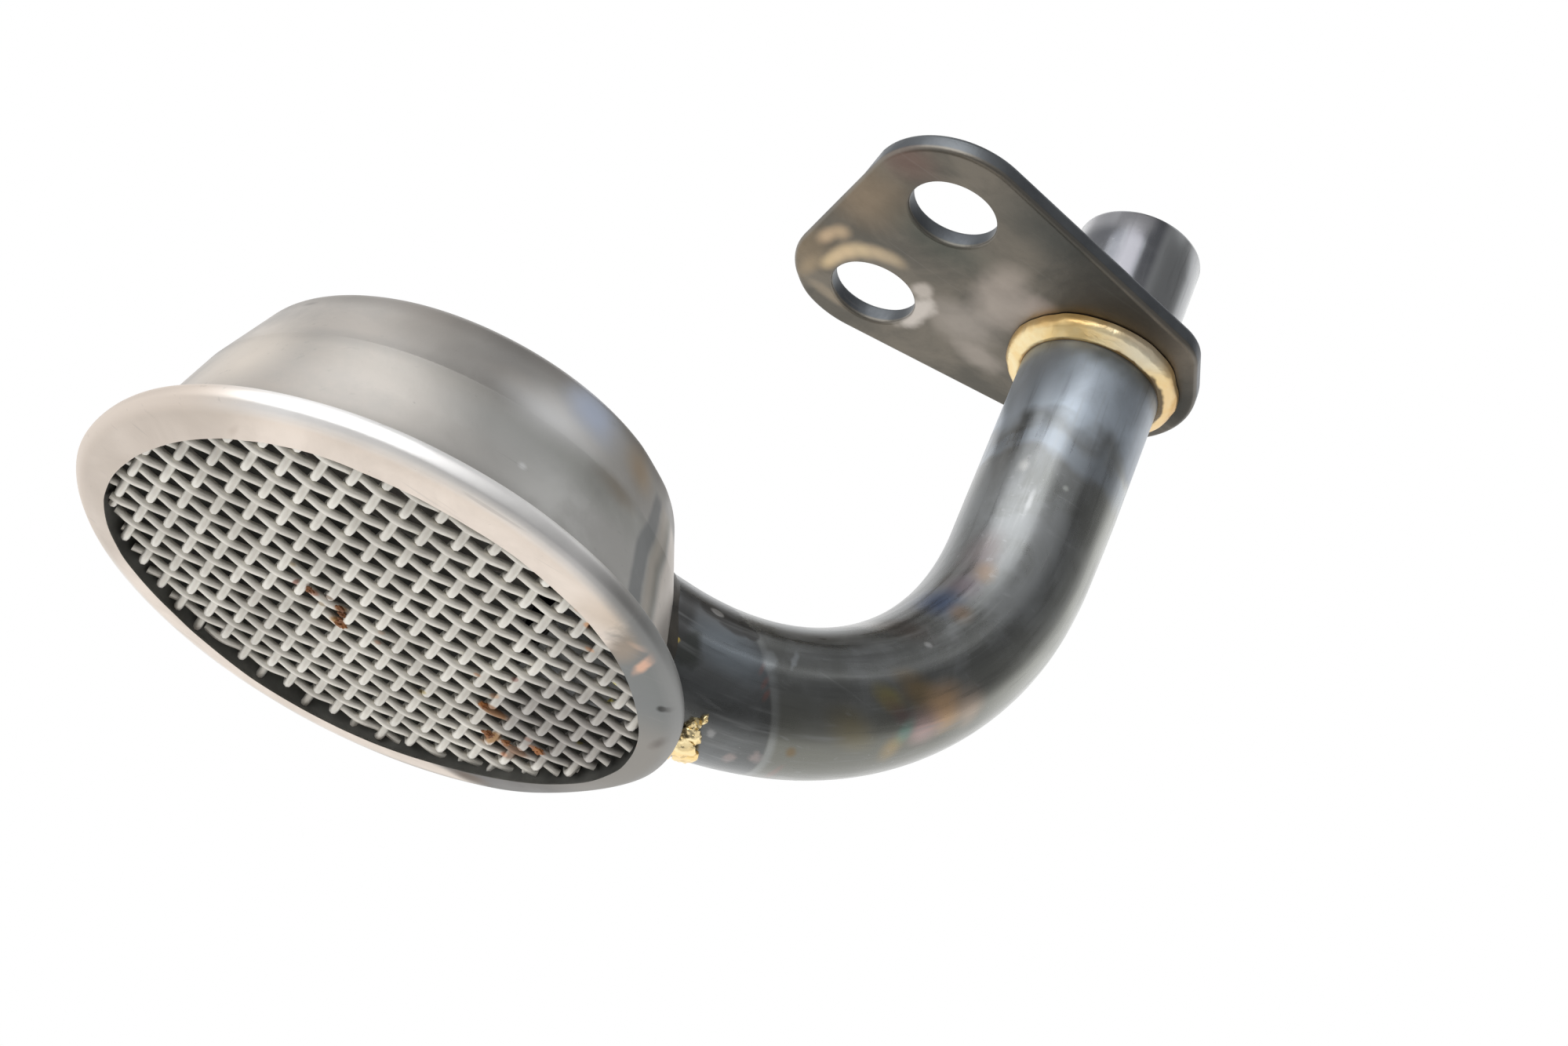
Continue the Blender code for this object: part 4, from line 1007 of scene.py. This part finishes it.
def make_flange(mat):
    bm = bmesh.new()
    thick = FLANGE_HIGH - FLANGE_LOW
    middle = Vector((0.0, 0.0, FLANGE_LOW + thick / 2.0))
    for reach, across, radius in (
            (0.0, 0.0, 0.0095),
            (-0.0018, -0.0060, 0.0046),
            (0.0016, 0.0025, 0.0089),
            (0.02037, 0.00713, 0.00788),
            (0.02037, -0.00713, 0.00788)):
        bmesh.ops.create_cone(bm, cap_ends=True, segments=128, radius1=radius, radius2=radius, depth=thick,
                              matrix=Matrix.Translation(on_flange(reach, across, FLANGE_TURN) + middle))
    hull = bmesh.ops.convex_hull(bm, input=bm.verts[:])
    inside = [g for g in hull["geom_interior"] if isinstance(g, bmesh.types.BMVert)]
    bmesh.ops.delete(bm, geom=inside, context="VERTS")
    outer = set(hull["geom"])
    bmesh.ops.delete(bm, geom=[f for f in bm.faces if f not in outer], context="FACES")
    loose = [e for e in bm.edges if not e.link_faces]
    bmesh.ops.delete(bm, geom=loose, context="EDGES")
    bmesh.ops.dissolve_limit(bm, angle_limit=math.radians(0.5), verts=bm.verts[:], edges=bm.edges[:])
    bmesh.ops.recalc_face_normals(bm, faces=bm.faces[:])
    for vert in bm.verts:
        far = smooth_step(vert.co.x, 0.0242, 0.0210)
        if vert.co.z > middle.z:
            vert.co.x += far * max(0.0, min(0.0014, SHEAR_LEAN * (vert.co.y + 0.0066)))
        else:
            vert.co.x += 0.0003 * far * smooth_step(vert.co.y, 0.0002, 0.0062)
    rim = [e for e in bm.edges if e.calc_face_angle() > math.radians(60.0)]
    bmesh.ops.bevel(bm, geom=rim, offset=0.0005, offset_type="OFFSET", segments=6, profile=0.5,
                    affect="EDGES", material=-1)
    plate = finish_piece("flange_body", bm, [mat], CUP_AXIS, 30.0)
    pierce(plate, CUP_AXIS + Vector((LEG_X, 0.0, 0.0)) + middle, FLANGE_BORE, 0.0001)
    for side in (BOLT_SPREAD, -BOLT_SPREAD):
        pierce(plate, CUP_AXIS + on_flange(BOLT_REACH, side, BOLT_TURN) + middle, BOLT_RADIUS, 0.00022)
    plate.data.shade_smooth()
    plate.data.set_sharp_from_angle(angle=math.radians(50.0))
    weighted = plate.modifiers.new("weighted", "WEIGHTED_NORMAL")
    weighted.keep_sharp = True
    weighted.weight = 100
    return plate


# Braze and dirt: the collar, the saddle at the cup, the run below the pipe, the bits on the wires

def make_collar(mat):
    bm = bmesh.new()
    hug = PIPE_RADIUS + 0.00002
    wire_profile(bm, [
        (hug, FLANGE_LOW - 0.0001, 0.0, 1),
        (hug + 0.00165, FLANGE_LOW - 0.0001, 0.0, 1),
        (hug + 0.00165, FLANGE_LOW - 0.0010, 0.0009, 10),
        (hug + 0.0003, FLANGE_LOW - 0.0017, 0.0003, 4),
        (hug, FLANGE_LOW - 0.0017, 0.0, 1)], True)
    spin_full(bm, 160)
    for vert in bm.verts:
        r = math.hypot(vert.co.x, vert.co.y)
        lump = wobble((vert.co.x, vert.co.y, 0.0), 260.0, 9.0) * 0.00022
        lump += wobble((vert.co.x, vert.co.y, vert.co.z), 900.0, 5.0) * 0.00008
        share = min(1.0, (r - hug) / 0.0006)
        k = 1.0 + lump * share / r
        vert.co.x *= k
        vert.co.y *= k
    return finish_piece("braze_collar", bm, [mat], CUP_AXIS + Vector((LEG_X, 0.0, 0.0)), 50.0)


def lumpy_ball(bm, place, size, seed, rough):
    # One lump of solidified metal or dirt
    made = bmesh.ops.create_icosphere(bm, subdivisions=3, radius=1.0)["verts"]
    for vert in made:
        bulge = 1.0 + rough * wobble(vert.co, 1.3, seed) + rough * 0.5 * wobble(vert.co, 3.5, seed + 3.0)
        vert.co = Vector(place) + Vector([c * s * bulge for c, s in zip(vert.co, size)])


# Each ring of the saddle lies this far off the wall and this far off the pipe
SADDLE_RINGS = ((-0.0002, 0.00002), (0.0, 0.0006), (0.00035, 0.00022), (0.0009, 0.00003), (0.0011, -0.0002))


def make_saddle(mat):
    # Fillet of scorched flux where the pipe enters the cup, following the cup's wall
    bm = bmesh.new()
    rings = []
    for out, lift in SADDLE_RINGS:
        made = bmesh.ops.create_circle(bm, cap_ends=False, segments=128, radius=PIPE_RADIUS + lift,
                                       matrix=Matrix.Rotation(math.radians(90.0), 4, "Y"))["verts"]
        for vert in made:
            z = vert.co.z + PIPE_HEIGHT
            wall = math.sqrt(wall_radius(z) ** 2 - vert.co.y ** 2)
            ragged = 0.00025 * wobble((vert.co.y, vert.co.z, 0.0), 420.0, 6.0) * (out > 0.0)
            vert.co = Vector((wall + out + ragged, vert.co.y, z))
        rings.append(list({e for v in made for e in v.link_edges}))
    for one, two in zip(rings, rings[1:]):
        bmesh.ops.bridge_loops(bm, edges=one + two)
    return finish_piece("flux_saddle", bm, [mat], CUP_AXIS, 60.0)


def wall_radius(z):
    # Outer radius of the cup's wall at a height, with its crease and rounded back edge
    if z < SHOULDER:
        return RIM_INNER + (SHOULDER_RADIUS - RIM_INNER) * max(0.0, z) / SHOULDER
    top = min(1.0, (z - SHOULDER) / (BACK_EDGE - SHOULDER))
    rounded = 0.0008 * max(0.0, top - 0.85) / 0.15
    return SHOULDER_RADIUS + (BACK_RADIUS - SHOULDER_RADIUS) * top - rounded


def make_blob(mat):
    # Braze metal that ran out below the pipe, in a few overlapping lumps
    bm = bmesh.new()
    for k, (place, size) in enumerate((
            ((0.0252, -0.0002, 0.00270), (0.0013, 0.0018, 0.0005)),
            ((0.0262, -0.0012, 0.00300), (0.0014, 0.0018, 0.00055)),
            ((0.0271, -0.0002, 0.00320), (0.0012, 0.0017, 0.00045)),
            ((0.0262, -0.0027, 0.00350), (0.0010, 0.0012, 0.00055)),
            ((0.0259, -0.0034, 0.00410), (0.0006, 0.0009, 0.0006)),
            ((0.0263, -0.0040, 0.00470), (0.0003, 0.0006, 0.0006)))):
        middle = Vector(place) - Vector((0.0005, 0.0, 0.0004))
        lumpy_ball(bm, middle, [c * 0.88 for c in size], 3.0 + 2.0 * k, 0.5)
    return finish_piece("braze_run", bm, [mat], CUP_AXIS, 60.0)


def make_debris(mat):
    # Bits of burnt dirt caught on the wires
    bm = bmesh.new()
    for k, (x, y, size) in enumerate((
            (-0.0047, 0.0021, 0.00030), (-0.0021, 0.0020, 0.00030), (-0.0016, 0.0028, 0.00030),
            (-0.0013, 0.0037, 0.00028), (-0.0011, 0.0044, 0.00040), (0.0114, 0.0034, 0.00034),
            (0.0136, 0.0074, 0.00042), (0.0173, 0.0053, 0.00036), (0.0152, 0.0071, 0.00034))):
        dip = SCREEN_LEVEL - 0.0009 + RIM_TILT * y
        lumpy_ball(bm, (x, y, dip), (size, size * 0.8, size * 0.5), 5.0 + k, 1.1)
    return finish_piece("screen_debris", bm, [mat], CUP_AXIS, 60.0)


# Lighting, stage and camera

# The room as it mirrors in the metal: azimuth, elevation, edge, full and brightness
WORLD_LEVELS = (
    (80.0, 0.0, -0.2, 0.05, 1.1),
    (150.0, 35.0, 0.88, 0.96, 0.75),
    (-60.0, 78.0, 0.85, 0.97, 0.32),
    (-38.0, 20.0, 0.7, 0.9, 0.27),
    (-38.0, 64.0, 0.955, 0.99, 0.9),
    (-75.0, -45.0, 0.7, 0.95, 0.2))
ROOM_LEVEL = 0.45

LAMP_CENTRE = (-0.01, -0.001, -0.03)
LAMP_TARGET = (0.0, 0.0, -0.03)
LAMP_DISTANCE = 0.6
FLOOR_LEVEL = -0.6

# The camera as solved from the photo
CAMERA_LENS = 62.191
CAMERA_PLACE = (-0.0559518, -0.1838916, -0.1489575)
CAMERA_TURN = (2.1575523, -0.3611385, -0.5236184)


def toward(azimuth, elevation):
    a, e = math.radians(azimuth), math.radians(elevation)
    return (math.cos(a) * math.cos(e), math.sin(a) * math.cos(e), math.sin(e))


def make_world():
    world = bpy.data.worlds.new("studio_world")
    scene.world = world
    world.use_nodes = True
    tree = Tree(world.node_tree)
    back = tree.nodes["Background"]
    direction = tree.nodes.new("ShaderNodeTexCoord").outputs["Generated"]
    level = ROOM_LEVEL
    for azimuth, elevation, edge, full, strength in WORLD_LEVELS:
        facing = tree.vec("DOT_PRODUCT", direction, toward(azimuth, elevation))
        level = tree.mixf(tree.span(facing, edge, full), level, strength)
    seen = tree.nodes.new("ShaderNodeLightPath").outputs["Is Camera Ray"]
    tree.put(back.inputs["Strength"], tree.mixf(seen, level, 1.0))
    back.inputs["Color"].default_value = (1.0, 1.0, 1.0, 1.0)


def area_lamp(name, place, size, power):
    light = bpy.data.lights.new(name, "AREA")
    light.shape = "RECTANGLE"
    light.size, light.size_y = size
    light.energy = power
    lamp = bpy.data.objects.new(name, light)
    lamp.location = place
    lamp.rotation_euler = (Vector(LAMP_TARGET) - Vector(place)).to_track_quat("-Z", "Y").to_euler()
    scene.collection.objects.link(lamp)


def around(azimuth, elevation):
    return Vector(LAMP_CENTRE) + Vector(toward(azimuth, elevation)) * LAMP_DISTANCE


def make_lamps():
    area_lamp("key_lamp", around(-141.0, 15.0), (0.66, 0.82), 4.1)
    area_lamp("strip_lamp", around(-82.0, 31.0), (0.36, 0.05), 0.07)


def make_floor():
    bm = bmesh.new()
    bmesh.ops.create_circle(bm, cap_ends=True, segments=64, radius=0.35)
    mat, tree, shader, point = new_material("floor_white", 0.8, 0.0)
    color = tree.mix(tree.noise(point, 6.0, 2.0), (0.84, 0.81, 0.77), (0.86, 0.83, 0.79))
    tree.put(shader.inputs["Base Color"], color)
    floor = finish_piece("studio_floor", bm, [mat], (0.0, 0.0, FLOOR_LEVEL))


def make_camera():
    data = bpy.data.cameras.new("photo_camera")
    data.sensor_width = 36.0
    data.lens = CAMERA_LENS
    data.clip_start = 0.01
    data.clip_end = 20.0
    camera = bpy.data.objects.new("photo_camera", data)
    camera.location = CAMERA_PLACE
    camera.rotation_euler = CAMERA_TURN
    scene.collection.objects.link(camera)
    scene.camera = camera


def main():
    steel = cup_steel()
    wire = wire_steel()
    oxide = pipe_oxide()
    plate = flange_steel()
    gold = braze_gold("braze_gold", 0.30, 0.6)
    cup = make_cup(steel, cup_inside())
    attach(cup, "root")
    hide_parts("strainer_cup")
    wires = make_screen(wire)
    for piece in wires:
        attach(piece, "root")
    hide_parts("inlet_screen")
    pipe = make_pipe(oxide)
    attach(pipe, "root")
    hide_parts("pickup_pipe")
    flange = make_flange(plate)
    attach(flange, "root")
    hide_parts("flange_plate")
    collar = make_collar(gold)
    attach(collar, "root")
    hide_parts("flange_braze")
    saddle = make_saddle(scorched_flux())
    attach(saddle, "root")
    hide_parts("cup_braze")
    blob = make_blob(braze_gold("braze_run", 0.32, 1.0))
    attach(blob, "root")
    dirt = make_debris(debris_brown())
    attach(dirt, "root")
    make_world()
    make_lamps()
    make_floor()
    make_camera()
    scene.view_settings.view_transform = "Standard"


main()
